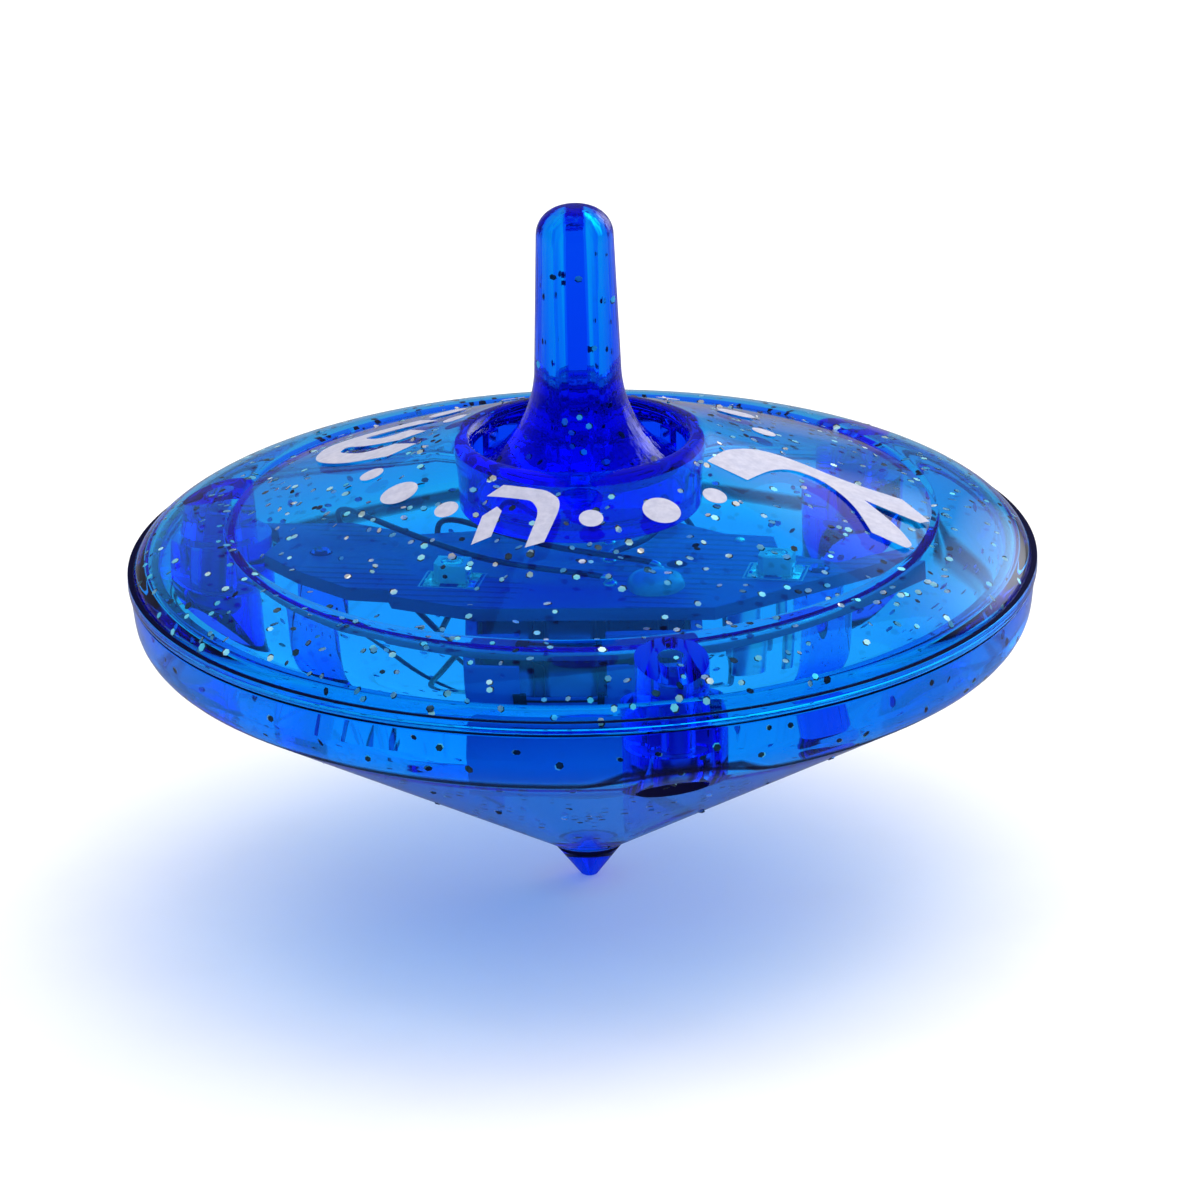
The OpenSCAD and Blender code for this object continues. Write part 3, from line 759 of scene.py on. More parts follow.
def makeStem():
    piece = grownFrom("stemSkin", stemTree(), stem)
    skin = bmesh.new()
    skin.from_mesh(piece.data)
    bmesh.ops.dissolve_degenerate(skin, edges=skin.edges, dist=weld)
    bmesh.ops.recalc_face_normals(skin, faces=skin.faces)
    skin.to_mesh(piece.data)
    skin.free()
    combine(piece, stemChannels(), "DIFFERENCE")
    smoothed(piece, 40)
    dress(piece, stemPlastic, "body", "stem_blue", "stem")
    print("stem:", len(piece.data.polygons), "faces")
    return piece


# Where the clear plastic shows deeper, and its painted dark lines of shade, worked out from the shells' own
# sizes

# some of these place the painted dark lines of shade at the tip's shoulder, the counterbore mouths and the
# heel
depths = {
    "tip": (-0.29, 0.05),
    "tipLine": (-0.6, -0.1),
    "cone": (-2.4, -1.4),
    "coneShare": 0.35,
    "cup": (0.08, 0.3),
    "cupHeights": (-1.02, -0.2),
    "bossSkin": 0.15,
    "bossTop": (3.0, 3.4),
    "overCone": (0.59, 0.89),
    "mouthSkin": 0.15,
    "mouthShade": (-3.7, -3.4),
    "lineSkin": 0.03,
    "lineReach": (-0.07, 0.13),
    "heelLine": -1.1,
    "heelWide": 0.75,
    "heelThin": 0.6,
    "heelLift": 1.5,
    "liftReach": (5.7, 8.7),
    "heelFrom": (-4.5, -4.0),
    "heelShare": 0.9,
    "stemFoot": (40.5, 47.0),
    "boreSkin": (0.02, 0.06),
    "web": (-0.05, 0.21),
    "flank": (1.2, 1.95),
    "flankShare": 0.75,
}


def climb(value, base, name):
    # a ramp between the two distances from base that a depth's name gives
    low, high = depths[name]
    return value.step((base + low) * mm, (base + high) * mm)


def bossCentresNear(spot):
    return [radiusOf(spot, centre) for centre in bossCentres]


def shellDepth(spot):
    # the tip, the cup and the screw bosses, where the plastic is thickest, but not the skin over them
    height = spot.other("Z")
    radius = radiusOf(spot)
    deep = 1 - climb(height, lower["tipHeight"], "tip")
    deep = deep.maths("MAXIMUM", (1 - climb(height, heel.y, "cone")) * depths["coneShare"])
    low, high = depths["cupHeights"]
    inCup = within(height, (cupLow + low) * mm, (roofHeight + high) * mm, 0.3 * mm)
    deep = deep.maths("MAXIMUM", (1 - climb(radius, upper["cup"], "cup")) * inCup)
    overCone = height - (radius * coneSlope + coneHeight(0) * mm)
    inside = climb(overCone, 0, "overCone") * (1 - climb(height, upper["joint"], "bossTop"))
    seam = upper["joint"] - lower["seamGap"]
    split = height.step(seam * mm, (seam + 0.1) * mm)
    reach = bosses["lowerRadius"] + split * (bosses["upperRadius"] - bosses["lowerRadius"])
    for away in bossCentresNear(spot):
        near = ((reach + depths["bossSkin"]) * mm - away).step(0.0, 0.1 * mm)
        deep = deep.maths("MAXIMUM", near * inside)
    return deep


def paintedDarkLines(spot):
    # painted dark lines: painted shadow in the gap at the outer edge of the joint's faces and at the bead's
    # ledge, painted shade lines at the heel and the tip's shoulder, and painted shade on the shaded side of
    # the counterbores
    height = spot.other("Z")
    radius = radiusOf(spot)
    low, high = depths["tipLine"]
    lines = within(height, (lower["tipHeight"] + low) * mm, (lower["tipHeight"] + high) * mm, 0.04 * mm)
    outer = climb(radius, upper["rim"] - upper["beadStep"], "lineReach")
    ledge = upper["joint"] + upper["beadHeight"]
    skin = depths["lineSkin"]
    for low, high in ((upper["joint"] - lower["seamGap"], upper["joint"]), (ledge, ledge)):
        line = within(height, (low - skin) * mm, (high + skin) * mm, 0.004 * mm)
        lines = lines.maths("MAXIMUM", line * outer)
    # painted shade low on each counterbore's wall, which shows black through its mouth
    shaded = 1 - climb(height, heel.y, "mouthShade")
    low = (bosses["counterbore"] - depths["mouthSkin"]) * mm
    high = (bosses["counterbore"] + depths["mouthSkin"]) * mm
    lift = 0.0
    for away in bossCentresNear(spot):
        lines = lines.maths("MAXIMUM", within(away, low, high, 0.03 * mm) * shaded)
        lift = (1 - climb(away, 0, "liftReach")) + lift
    rise = lift * depths["heelLift"] + (heel.y + depths["heelLine"])
    off = (height - rise * mm).maths("ABSOLUTE")
    wide = (1 - lift * depths["heelThin"]) * (depths["heelWide"] * mm)
    heelLine = (1 - off.step(wide * 0.4, wide)) * climb(radius, heel.x, "heelFrom")
    return lines.maths("MAXIMUM", heelLine * depths["heelShare"])


def stemDepth(spot):
    # the foot, and in the bore the edges beside its web and the flanks, seen through more plastic
    foot = 1 - climb(spot.other("Z"), 0, "stemFoot")
    inBore = 1 - climb(radiusOf(spot), hollow["radius"], "boreSkin")
    across = spot.maths("ABSOLUTE")
    low, high = depths["web"]
    web = hollow["blade"] / 2
    edges = within(across, (web + low) * mm, (web + high) * mm, 0.04 * mm)
    edges = edges.maths("MAXIMUM", climb(across, 0, "flank") * depths["flankShare"])
    return foot.maths("MAXIMUM", edges * inBore)


tint = plasticTint["absorbed"]
shellPlastic = clearPlastic("clearBluePlastic", tint, plasticTint["density"], 1.0, shellDepth, paintedDarkLines)
stemPlastic = clearPlastic("stemBluePlastic", tint, plasticTint["stemDensity"], 1.4, stemDepth, None, True)
upperShell = makeUpperShell()
lowerShell = makeLowerShell()
stemSkin = makeStem()


# Glitter in the walls

glitter = {
    "flake": 0.33,
    "thick": 0.03,
    "sunk": 0.36,
    "roofCount": 720,
    "coneCount": 480,
    "stemCount": 64,
    "deep": 0.28,
    "tilt": 0.6,
    "sizes": (0.72, 1.12),
    "backShift": (0.4, -1.2),
    "shoulder": (0.9, 4.3),
    "roofEnds": (0.5, 0.4),
    "wallTop": (0.1, 1.0),
    "wallFoot": (0.7, 0.9),
    "cone": (2.4, 4.0),
    "shaft": ((3.05, 47.5), (2.9, 58.5)),
    "flare": ((7.2, 39.3), (5.0, 41.0), (3.4, 45.5)),
    "halfTurn": 60,
}


def flakeFoil():
    # silver foil that now and then shows a cyan face; its dark faces are painted shade, its back disc a
    # painted shadow
    def build(kit):
        tone = kit.add("ShaderNodeAttribute", {"attribute_name": "flakeTone"}, None, "Fac")
        edge = kit.add("ShaderNodeAttribute", {"attribute_name": "flakeEdge"}, None, "Fac")
        stops = [(0.0, (0.03, 0.04, 0.06)), (0.16, (0.1, 0.12, 0.16)), (0.2, (0.9, 0.92, 0.95))]
        stops += [(0.62, (1.0, 1.0, 1.0)), (0.7, (0.45, 0.9, 1.0)), (1.0, (0.75, 0.97, 1.0))]
        colour = kit.blend(edge, kit.ramp(tone, stops), rgb(0.01, 0.01, 0.02))
        roughness = 0.3 + kit.noise(900.0) * 0.15
        return {"Base Color": colour, "Roughness": roughness, "Metallic": 0.7 - edge * 0.7}
    return solidMaterial("flakeFoil", {"Specular IOR Level": 0.5}, build)


foil = flakeFoil()


def flakeTree():
    # flakes spread over a skin, each a little foil on a near-black painted shadow, sunk and tilted by chance
    measures = ("area", "flake", "thick", "deep", "tilt")
    kit, entry = ruleTree("glitterFlakes", measures, ("count", "seed"))
    seed = entry.other("seed")
    density = entry.other("count") / entry.other("area")
    spread = {"Mesh": entry.other("Geometry"), "Density": density, "Seed": seed}
    spots = kit.add("GeometryNodeDistributePointsOnFaces", None, spread)

    def chance(low, high, salt):
        inputs = {2: low, 3: high, "Seed": seed + salt}
        return kit.add("FunctionNodeRandomValue", {"data_type": "FLOAT"}, inputs, 1)

    deep = entry.other("deep") * mm
    sink = chance(deep * -1, deep, 11)
    shift = {0: spots.other("Normal"), "Scale": sink}
    away = kit.add("ShaderNodeVectorMath", {"operation": "SCALE"}, shift)
    sunk = kit.add("GeometryNodeSetPosition", None, {"Geometry": spots, "Offset": away})
    disc = kit.add("GeometryNodeMeshCylinder", None, {
        "Vertices": 6,
        "Radius": entry.other("flake") * mm,
        "Depth": entry.other("thick") * mm,
    })
    aside, below = glitter["backShift"]
    shifted = kit.vector(entry.other("flake") * (aside * mm), 0.0, entry.other("thick") * (below * mm))
    back = kit.add("GeometryNodeTransform", None, {"Geometry": disc, "Translation": shifted})
    # the second disc, set aside and below the foil, is near-black: a painted shadow
    pair = []
    for sheet, shade in ((disc, 0.0), (back, 1.0)):
        pair.append(kit.add("GeometryNodeStoreNamedAttribute", {"data_type": "FLOAT", "domain": "FACE"}, {
            "Geometry": sheet,
            "Name": "flakeEdge",
            "Value": shade,
        }))
    tilt = entry.other("tilt")
    lean = kit.vector(chance(tilt * -1, tilt, 23), chance(tilt * -1, tilt, 31), chance(0.0, 2 * math.pi, 47))
    turned = kit.add("FunctionNodeRotateRotation", {"rotation_space": "LOCAL"}, {
        0: spots.other("Rotation"),
        1: kit.add("FunctionNodeEulerToRotation", None, {0: lean}),
    })
    placed = kit.add("GeometryNodeInstanceOnPoints", None, {
        "Points": sunk,
        "Instance": kit.join(*pair),
        "Rotation": turned,
        "Scale": chance(*glitter["sizes"], 59),
    })
    toned = kit.add("GeometryNodeStoreNamedAttribute", {"data_type": "FLOAT", "domain": "INSTANCE"}, {
        "Geometry": placed,
        "Name": "flakeTone",
        "Value": chance(0.0, 1.0, 83),
    })
    return kit.deliver(kit.add("GeometryNodeRealizeInstances", None, {"Geometry": toned}), foil)


def glitterSkins():
    # each layer's skins inside the walls, its count of flakes, its seed and its share of the depth
    sunk = glitter["sunk"]
    edge = upper["rim"] - upper["beadStep"] - sunk
    foot, rise = glitter["shoulder"]
    shoulder = shoulderCurve(edge - ringRadius, upper["joint"] + foot, rise - sunk, 14)
    atRing, atCollar = glitter["roofEnds"]
    roof = [(ringRadius - atRing, ringHeight - sunk), (upper["collar"] + atCollar, roofHeight - sunk)]
    topInset, topDrop = glitter["wallTop"]
    footInset, footRise = glitter["wallFoot"]
    cone = [(heel.x - topInset, upper["joint"] - topDrop), (heel.x - footInset, heel.y + footRise)]
    start, end = glitter["cone"]
    cone += [(heel.x - start, coneHeight(heel.x - start) + sunk), (end, coneHeight(end) + sunk)]
    return {
        "glitterUpper": ([shoulder + roof], glitter["roofCount"], 4, 1.0),
        "glitterLower": ([cone], glitter["coneCount"], 7, 1.0),
        "glitterStem": ([glitter["shaft"], glitter["flare"]], glitter["stemCount"], 12, 0.5),
    }


def makeGlitter():
    tree = flakeTree()
    half = glitter["halfTurn"]
    angles = [math.pi * k / half for k in range(2 * half)]
    for name, (skins, count, seed, share) in glitterSkins().items():
        bm = bmesh.new()
        for skin in skins:
            rings = []
            for r, z in skin:
                spots = [(r * mm * math.cos(a), r * mm * math.sin(a), z * mm) for a in angles]
                rings.append([bm.verts.new(spot) for spot in spots])
            for low, high in zip(rings, rings[1:]):
                for k in range(2 * half):
                    n = (k + 1) % (2 * half)
                    bm.faces.new([low[k], low[n], high[n], high[k]])
        area = sum(face.calc_area() for face in bm.faces)
        values = {key: glitter[key] for key in ("flake", "thick", "tilt")}
        values.update({"count": count, "area": area, "seed": seed, "deep": glitter["deep"] * share})
        flakes = grownFrom(name, tree, values, meshFrom(name, bm))
        dress(flakes, foil, "body")
        print("glitter:", name, len(flakes.data.polygons), "faces")


makeGlitter()


# Printed marks: the four letters of the game in plain forms, and groups of dots

marks = {
    "lift": 0.012,
    "film": 0.03,
    "cell": 1.2,
    "smallDot": 1.05,
    "bigDot": 1.65,
    "dotSides": 40,
    "ink": (0.52, 0.52, 0.66),
    "freshInk": (0.68, 0.67, 0.8),
    "thinInk": (0.5, 0.55, 0.78),
}
# each letter's turn, the radius of its foot and its outlines: u runs to the reader's right, v
# towards the stem, and a third value rounds the corner
letters = {
    "nun": (87, 21.0, [
        [(-1.3, 8.8), (-2.3, 7.4), (0.2, 7.2, 0.5), (0.9, 6.0, 1.0), (0.9, 2.6), (-3.0, 2.4),
         (-2.4, 0.8), (2.6, 1.0, 0.4), (2.6, 7.4, 1.8), (1.2, 8.7, 0.8)],
    ]),
    "gimel": (-15, 30.8, [
        [(-2.8, 18.6), (0.8, 17.8, 1.0), (3.7, 16.0, 1.5), (4.8, 13.4, 2.5), (4.6, 8.0, 3.0), (5.7, 3.2),
         (3.2, 0.2), (2.0, 0.8), (2.1, 5.8), (-0.6, 2.2, 2.0), (-3.0, 0.3, 0.6), (-4.0, 0.6, 0.4),
         (-3.7, 3.8), (0.4, 6.4, 3.0), (2.7, 9.6, 2.0), (2.5, 12.2, 2.0), (0.6, 13.6, 1.2), (-3.3, 14.9)],
    ]),
    "he": (-110, 21.0, [
        [(-2.6, 8.7), (-3.6, 7.2), (0.6, 7.0, 0.5), (1.7, 5.8, 1.2), (2.0, 1.2), (3.4, 2.2),
         (3.3, 7.5, 2.0), (1.4, 8.5, 0.6), (-2.4, 8.4)],
        [(-2.2, 5.9), (-1.6, 5.4), (-1.4, 2.1), (-2.8, 0.9), (-3.1, 4.6)],
    ]),
    "shin": (150, 30.0, [
        [(-4.3, 11.2), (-2.0, 14.4), (-1.9, 11.0, 1.0), (-0.9, 7.2, 1.2), (1.2, 10.2, 2.0), (0.0, 12.8),
         (1.7, 15.4), (3.0, 13.4), (2.7, 9.6, 2.0), (1.4, 7.0, 0.8), (3.0, 7.0, 1.5), (5.0, 10.6, 2.5),
         (4.0, 13.6), (5.1, 16.4), (7.0, 14.6), (6.8, 9.4, 3.0), (4.2, 5.0, 2.5), (-0.4, 3.6, 2.0),
         (-2.6, 6.4, 2.0)],
    ]),
}
dotGroups = [
    [(-175, 18.3), (-155, 17.4), (-133.5, 16.9)],
    [(-87, 16.1), (-64.5, 16.1), (-44, 16.1)],
    [(20.6, 17.4), (42.4, 18.9), (64, 18.2)],
    [(109, 18.0), (130, 18.2), (146, 13.2)],
]


def printInk():
    # opaque pale ink, a little thin in places
    def build(kit):
        speck = kit.noise(1500.0, 2.0, 0.6)
        thin = kit.noise(220.0, 3.0, 0.6).step(0.35, 0.75)
        pale = kit.blend(speck.step(0.3, 0.7), rgb(*marks["ink"]), rgb(*marks["freshInk"]))
        colour = kit.blend(thin * 0.35, pale, rgb(*marks["thinInk"]))
        return {"Base Color": colour, "Roughness": 0.42 + speck * 0.2, "Normal": kit.bump(speck, 0.01 * mm)}
    return solidMaterial("printInk", {"Specular IOR Level": 0.4}, build)


def printTree(ink):
    # flat forms and dots laid on the sloping roof and given the thickness of a film
    measures = ("collar", "roofTop", "slope", "lift", "film")
    kit, entry = ruleTree("printOnRoof", measures, ["dotSides"])
    flat = entry.other("Geometry")
    size = kit.add("GeometryNodeInputNamedAttribute", {"data_type": "FLOAT"}, {"Name": "dotSize"})
    isDot = size.maths("GREATER_THAN", 0.0)
    middles = kit.add("GeometryNodeMeshToPoints", None, {"Mesh": flat, "Selection": isDot})
    disc = kit.add("GeometryNodeMeshCircle", {"fill_type": "TRIANGLE_FAN"}, {
        "Vertices": entry.other("dotSides"),
        "Radius": mm,
    })
    scattered = {"Points": middles, "Instance": disc, "Scale": size}
    dots = kit.add("GeometryNodeInstanceOnPoints", None, scattered)
    realDots = kit.add("GeometryNodeRealizeInstances", None, {"Geometry": dots})
    dropped = {"Geometry": flat, "Selection": isDot}
    forms = kit.add("GeometryNodeDeleteGeometry", {"domain": "POINT"}, dropped)
    both = kit.join(realDots, forms)
    spot = kit.add("ShaderNodeSeparateXYZ", None, {0: kit.add("GeometryNodeInputPosition")})
    fall = (radiusOf(spot) - entry.other("collar") * mm) * entry.other("slope")
    height = (entry.other("roofTop") + entry.other("lift")) * mm - fall
    where = kit.vector(spot, spot.other("Y"), height)
    laid = kit.add("GeometryNodeSetPosition", None, {"Geometry": both, "Position": where})
    raised = kit.add("GeometryNodeExtrudeMesh", {"mode": "FACES"}, {
        "Mesh": laid,
        "Offset Scale": entry.other("film") * mm,
        "Individual": False,
    })
    under = kit.add("GeometryNodeFlipFaces", None, {"Mesh": laid})
    closed = {"Geometry": kit.join(raised, under), "Distance": weld}
    merged = kit.add("GeometryNodeMergeByDistance", None, closed)
    return kit.deliver(kit.add("GeometryNodeRealizeInstances", None, {"Geometry": merged}), ink)


def makePrint():
    flat = bmesh.new()
    dotSize = flat.verts.layers.float.new("dotSize")
    for turn, foot, outlines in letters.values():
        angle = math.radians(turn)
        outward = Vector((math.cos(angle), math.sin(angle), 0))
        across = Vector((-math.sin(angle), math.cos(angle), 0))
        for outline in outlines:
            spots = [outward * (foot - v) + across * u for u, v in softened(outline, 8)]
            flat.faces.new([flat.verts.new(spot * mm) for spot in spots])
    bmesh.ops.triangulate(flat, faces=flat.faces[:])
    count = int(ringRadius / marks["cell"])
    for axis in (Vector((1, 0, 0)), Vector((0, 1, 0))):
        for k in range(-count, count + 1):
            every = flat.verts[:] + flat.edges[:] + flat.faces[:]
            cut = axis * (k * marks["cell"] * mm)
            bmesh.ops.bisect_plane(flat, geom=every, dist=1e-8, plane_co=cut, plane_no=axis)
    bmesh.ops.recalc_face_normals(flat, faces=flat.faces)
    for face in flat.faces:
        if face.normal.z < 0:
            face.normal_flip()
    for group in dotGroups:
        for k, (turn, r) in enumerate(group):
            angle = math.radians(turn)
            dot = flat.verts.new((r * math.cos(angle) * mm, r * math.sin(angle) * mm, 0))
            dot[dotSize] = marks["bigDot"] if k == 1 else marks["smallDot"]
    ink = printInk()
    values = {"collar": upper["collar"], "roofTop": roofHeight, "slope": roofSlope}
    values.update({name: marks[name] for name in ("lift", "film", "dotSides")})
    piece = grownFrom("printedMarks", printTree(ink), values, meshFrom("printedMarks", flat))
    dress(piece, ink, "body")
    print("print:", len(piece.data.polygons), "faces")
    return piece


printedMarks = makePrint()


# Finishes of the parts inside

def finish(material, *names):
    # a better material for nodes whose shape is right as it is
    for name in names:
        for materialSlot in nodes[name].material_slots:
            materialSlot.material = material


def metal(name, bright, dull, grain, roughness, stretch=(1, 1, 1)):
    # drawn or brushed metal: fine lines one way, with duller patches where it was handled
    def build(kit):
        lines = kit.noise(grain, 2.0, 0.5, kit.place(stretch))
        patches = kit.noise(grain / 12, 3.0, 0.6).step(0.42, 0.68)
        return {
            "Base Color": kit.blend(patches, rgb(*bright), rgb(*dull)),
            "Roughness": roughness + lines * 0.12 + patches * 0.1,
            "Normal": kit.bump(lines, 0.005 * mm),
        }
    return solidMaterial(name, {"Metallic": 1.0}, build)


def platedSheet():
    # thin nickel-plated brass with rolling lines, tarnished towards its rim
    def build(kit):
        radius = radiusOf(kit.spot())
        rolled = kit.noise(1400.0, 2.0, 0.5, kit.place((1, 12, 1)))
        stain = kit.noise(260.0, 4.0, 0.6) * radius.step(5 * mm, 10 * mm)
        tarnish = stain.step(0.3, 0.6)
        return {
            "Base Color": kit.blend(tarnish, rgb(0.86, 0.86, 0.86), rgb(0.66, 0.6, 0.5)),
            "Roughness": 0.24 + rolled * 0.12 + tarnish * 0.2,
            "Normal": kit.bump(rolled, 0.006 * mm),
        }
    return solidMaterial("platedSheet", {"Metallic": 1.0}, build)


def moulded(name, colour, bloom, grain, roughness, gloss=0.45, shadedAbove=None):
    # moulded plastic with a spark-eroded grain and a faint bloom; the last argument gives two heights and
    # the two darker colours of painted shade to which it changes above them
    def build(kit):
        pits = kit.noise(grain, 3.0, 0.6)
        haze = kit.noise(grain / 20, 3.0, 0.6).step(0.4, 0.75)
        base = kit.blend(haze, rgb(*colour), rgb(*bloom))
        if shadedAbove:
            low, high, shadedColour, shadedBloom = shadedAbove
            # painted shade: the colour darkens between the two heights
            rise = kit.spot().other("Z").step(low, high)
            base = kit.blend(rise, base, kit.blend(haze, rgb(*shadedColour), rgb(*shadedBloom)))
        return {
            "Base Color": base,
            "Roughness": roughness + pits * 0.16 + haze * 0.08,
            "Normal": kit.bump(pits, 0.012 * mm),
        }
    return solidMaterial(name, {"Specular IOR Level": gloss}, build)


def boxMoulding():
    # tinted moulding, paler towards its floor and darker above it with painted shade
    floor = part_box("battery_box")[0].z
    shadedAbove = (floor + 4 * mm, floor + 6.5 * mm, (0.02, 0.11, 0.55), (0.03, 0.15, 0.62))
    return moulded("boxMoulding", (0.1, 0.46, 1.0), (0.14, 0.52, 1.0), 1500.0, 0.36, 0.2, shadedAbove)


boardLook = {
    "lacquer": (0.03, 0.1, 0.5),
    "overCopper": (0.02, 0.06, 0.34),
    "core": (0.08, 0.13, 0.36),
    "trackPitch": 1.25,
    "trackTurn": math.radians(9),
    "patchScale": 95.0,
    "ease": 0.06,
    "padEase": 0.03,
}


def boardMask():
    # lacquer over copper tracks that run along the board, and the bare laminate at its cut edge
    def build(kit):
        spot = kit.spot((0, 0, boardLook["trackTurn"]))
        wave = (spot.other("Y") * (2 * math.pi / (boardLook["trackPitch"] * mm))).maths("SINE")
        patch = kit.noise(boardLook["patchScale"], 1.0, 0.4).step(0.44, 0.48)
        track = wave.step(0.35, 0.5) * patch
        weave = kit.noise(2200.0, 2.0, 0.5)
        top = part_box("circuit_board")[1].z
        side = spot.other("Z").step(top - 0.06 * mm, top - 0.02 * mm)
        face = kit.blend(track, rgb(*boardLook["lacquer"]), rgb(*boardLook["overCopper"]))
        return {
            "Base Color": kit.blend(side, rgb(*boardLook["core"]), face),
            "Roughness": 0.3 + weave * 0.16 + (1 - side) * 0.3,
            "Normal": kit.bump(track + weave * 0.3, 0.02 * mm),
        }
    return solidMaterial("boardMask", {"Specular IOR Level": 0.5}, build)


def solderTin():
    def build(kit):
        frost = kit.noise(1100.0, 3.0, 0.6)
        dull = frost.step(0.38, 0.7)
        return {
            "Base Color": kit.blend(dull, rgb(0.86, 0.87, 0.88), rgb(0.6, 0.61, 0.63)),
            "Roughness": 0.2 + dull * 0.25,
            "Normal": kit.bump(frost, 0.012 * mm),
        }
    return solidMaterial("solderTin", {"Metallic": 1.0}, build)


def lampHousing():
    def build(kit):
        speck = kit.noise(1600.0, 3.0, 0.6)
        flow = kit.noise(300.0, 2.0, 0.5, kit.place((1, 3, 1))).step(0.4, 0.7)
        return {
            "Base Color": kit.blend(flow, rgb(0.93, 0.94, 0.93), rgb(0.84, 0.86, 0.87)),
            "Roughness": 0.28 + speck * 0.2,
            "Normal": kit.bump(speck, 0.006 * mm),
        }
    return solidMaterial("lampHousing", {"Specular IOR Level": 0.5}, build)


def dropResin():
    # cast resin, palest at its top with a painted highlight, and paler at its rim than between
    def build(kit):
        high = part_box("chip_drop")[1].z
        rise = kit.spot().other("Z").step(high - 1.5 * mm, high)
        cloud = kit.noise(420.0, 3.0, 0.6)
        swirlAndHighlight = (rise + (cloud - 0.5) * 0.5).step(0.0, 1.0)
        stops = [(0.0, (0.42, 0.5, 0.6)), (0.35, (0.3, 0.42, 0.6))]
        stops += [(0.8, (0.36, 0.5, 0.7)), (1.0, (0.5, 0.62, 0.8))]
        return {
            "Base Color": kit.ramp(swirlAndHighlight, stops),
            "Roughness": 0.12 + cloud * 0.12,
            "Normal": kit.bump(cloud, 0.02 * mm),
        }
    return solidMaterial("dropResin", {"Specular IOR Level": 0.6, "Coat Roughness": 0.05}, build)


def ceramicFace():
    # fired silver over the ceramic disc, with the bare rim round it
    def build(kit):
        rim = radiusOf(kit.spot()).step(6.3 * mm, 6.4 * mm)
        screen = kit.noise(900.0, 3.0, 0.6)
        return {
            "Base Color": kit.blend(rim, rgb(0.82, 0.82, 0.8), rgb(0.66, 0.62, 0.5)),
            "Metallic": 0.75 - rim * 0.75,
            "Roughness": 0.4 + screen * 0.2,
            "Normal": kit.bump(screen, 0.008 * mm),
        }
    return solidMaterial("ceramicFace", {}, build)


screwMetal = metal("screwMetal", (0.72, 0.73, 0.75), (0.5, 0.5, 0.52), 1300.0, 0.24, (1, 1, 6))
cellMetal = metal("cellMetal", (0.08, 0.12, 0.42), (0.05, 0.08, 0.32), 1500.0, 0.3, (8, 1, 1))
springMetal = metal("springMetal", (0.88, 0.87, 0.82), (0.7, 0.68, 0.6), 1200.0, 0.22, (1, 1, 7))
weightMetal = metal("weightMetal", (0.86, 0.87, 0.88), (0.7, 0.7, 0.72), 1500.0, 0.28, (1, 1, 9))
framePlastic = moulded("framePlastic", (0.004, 0.004, 0.006), (0.012, 0.012, 0.016), 1500.0, 0.4, 0.1)
switchPlastic = moulded("switchPlastic", (0.72, 0.76, 0.8), (0.82, 0.85, 0.88), 1800.0, 0.38)
tin = solderTin()


# Board, lamps and resin drop

def cadCopy(name, node, ease=0.0, finer=0):
    # a node's own shape, its triangles joined and its edges eased
    bm = bmesh.new()
    bm.from_mesh(nodes[node].data)
    bmesh.ops.remove_doubles(bm, verts=bm.verts, dist=weld / 2)
    if not finer:
        bmesh.ops.dissolve_limit(bm, angle_limit=math.radians(0.5), verts=bm.verts, edges=bm.edges)
    piece = meshObject(name, bm)
    if ease:
        eased(piece, ease, 2, 35)
    if finer:
        rounder = piece.modifiers.new("rounder", "SUBSURF")
        rounder.levels = finer
        rounder.render_levels = finer
        settle(piece)
    smoothed(piece, 35)
    return piece


def prism(bm, outline, low, high, centre=(0, 0), turn=0.0):
    # a flat (x, y) outline stood up from one height to another
    levels = []
    for z in (low, high):
        turned = [Matrix.Rotation(turn, 3, "Z") @ Vector((x, y, 0)) for x, y in outline]
        spots = [spot + Vector((*centre, z)) for spot in turned]
        levels.append([bm.verts.new(spot * mm) for spot in spots])
    bm.faces.new(levels[1])
    bm.faces.new(list(reversed(levels[0])))
    for k in range(len(outline)):
        n = (k + 1) % len(outline)
        bm.faces.new([levels[0][k], levels[0][n], levels[1][n], levels[1][k]])


def oblong(length, width, cut=0.0):
    # a centred rectangle, with its first corner cut off where a cut is given
    x, y = length / 2, width / 2
    first = [(-x, -y + cut), (-x + cut, -y)] if cut else [(-x, -y)]
    return first + [(x, -y), (x, y), (-x, y)]


def middleOf(node):
    low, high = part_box(node)
    return ((low.x + high.x) / 2 / mm, (low.y + high.y) / 2 / mm)


lamp = {
    "length": 3.0,
    "width": 2.6,
    "height": 1.7,
    "cornerCut": 0.55,
    "turn": math.radians(-12),
    "well": (1.0, 0.72),
    "wellDepth": 0.6,
    "lens": 0.06,
    "lensGap": 0.02,
    "ease": 0.1,
    "lead": (0.36, 1.5, 0.75),
    "leadReach": 0.14,
    "leadEase": 0.05,
    "outline": (5.2, 3.9),
    "outlineWidth": 0.16,
    "ink": 0.02,
    "inkStep": 0.002,
}


def besideLamp(centre, along, across):
    # a place measured in a lamp's own directions
    spot = Matrix.Rotation(lamp["turn"], 3, "Z") @ Vector((along, across, 0))
    return (centre[0] + spot.x, centre[1] + spot.y)


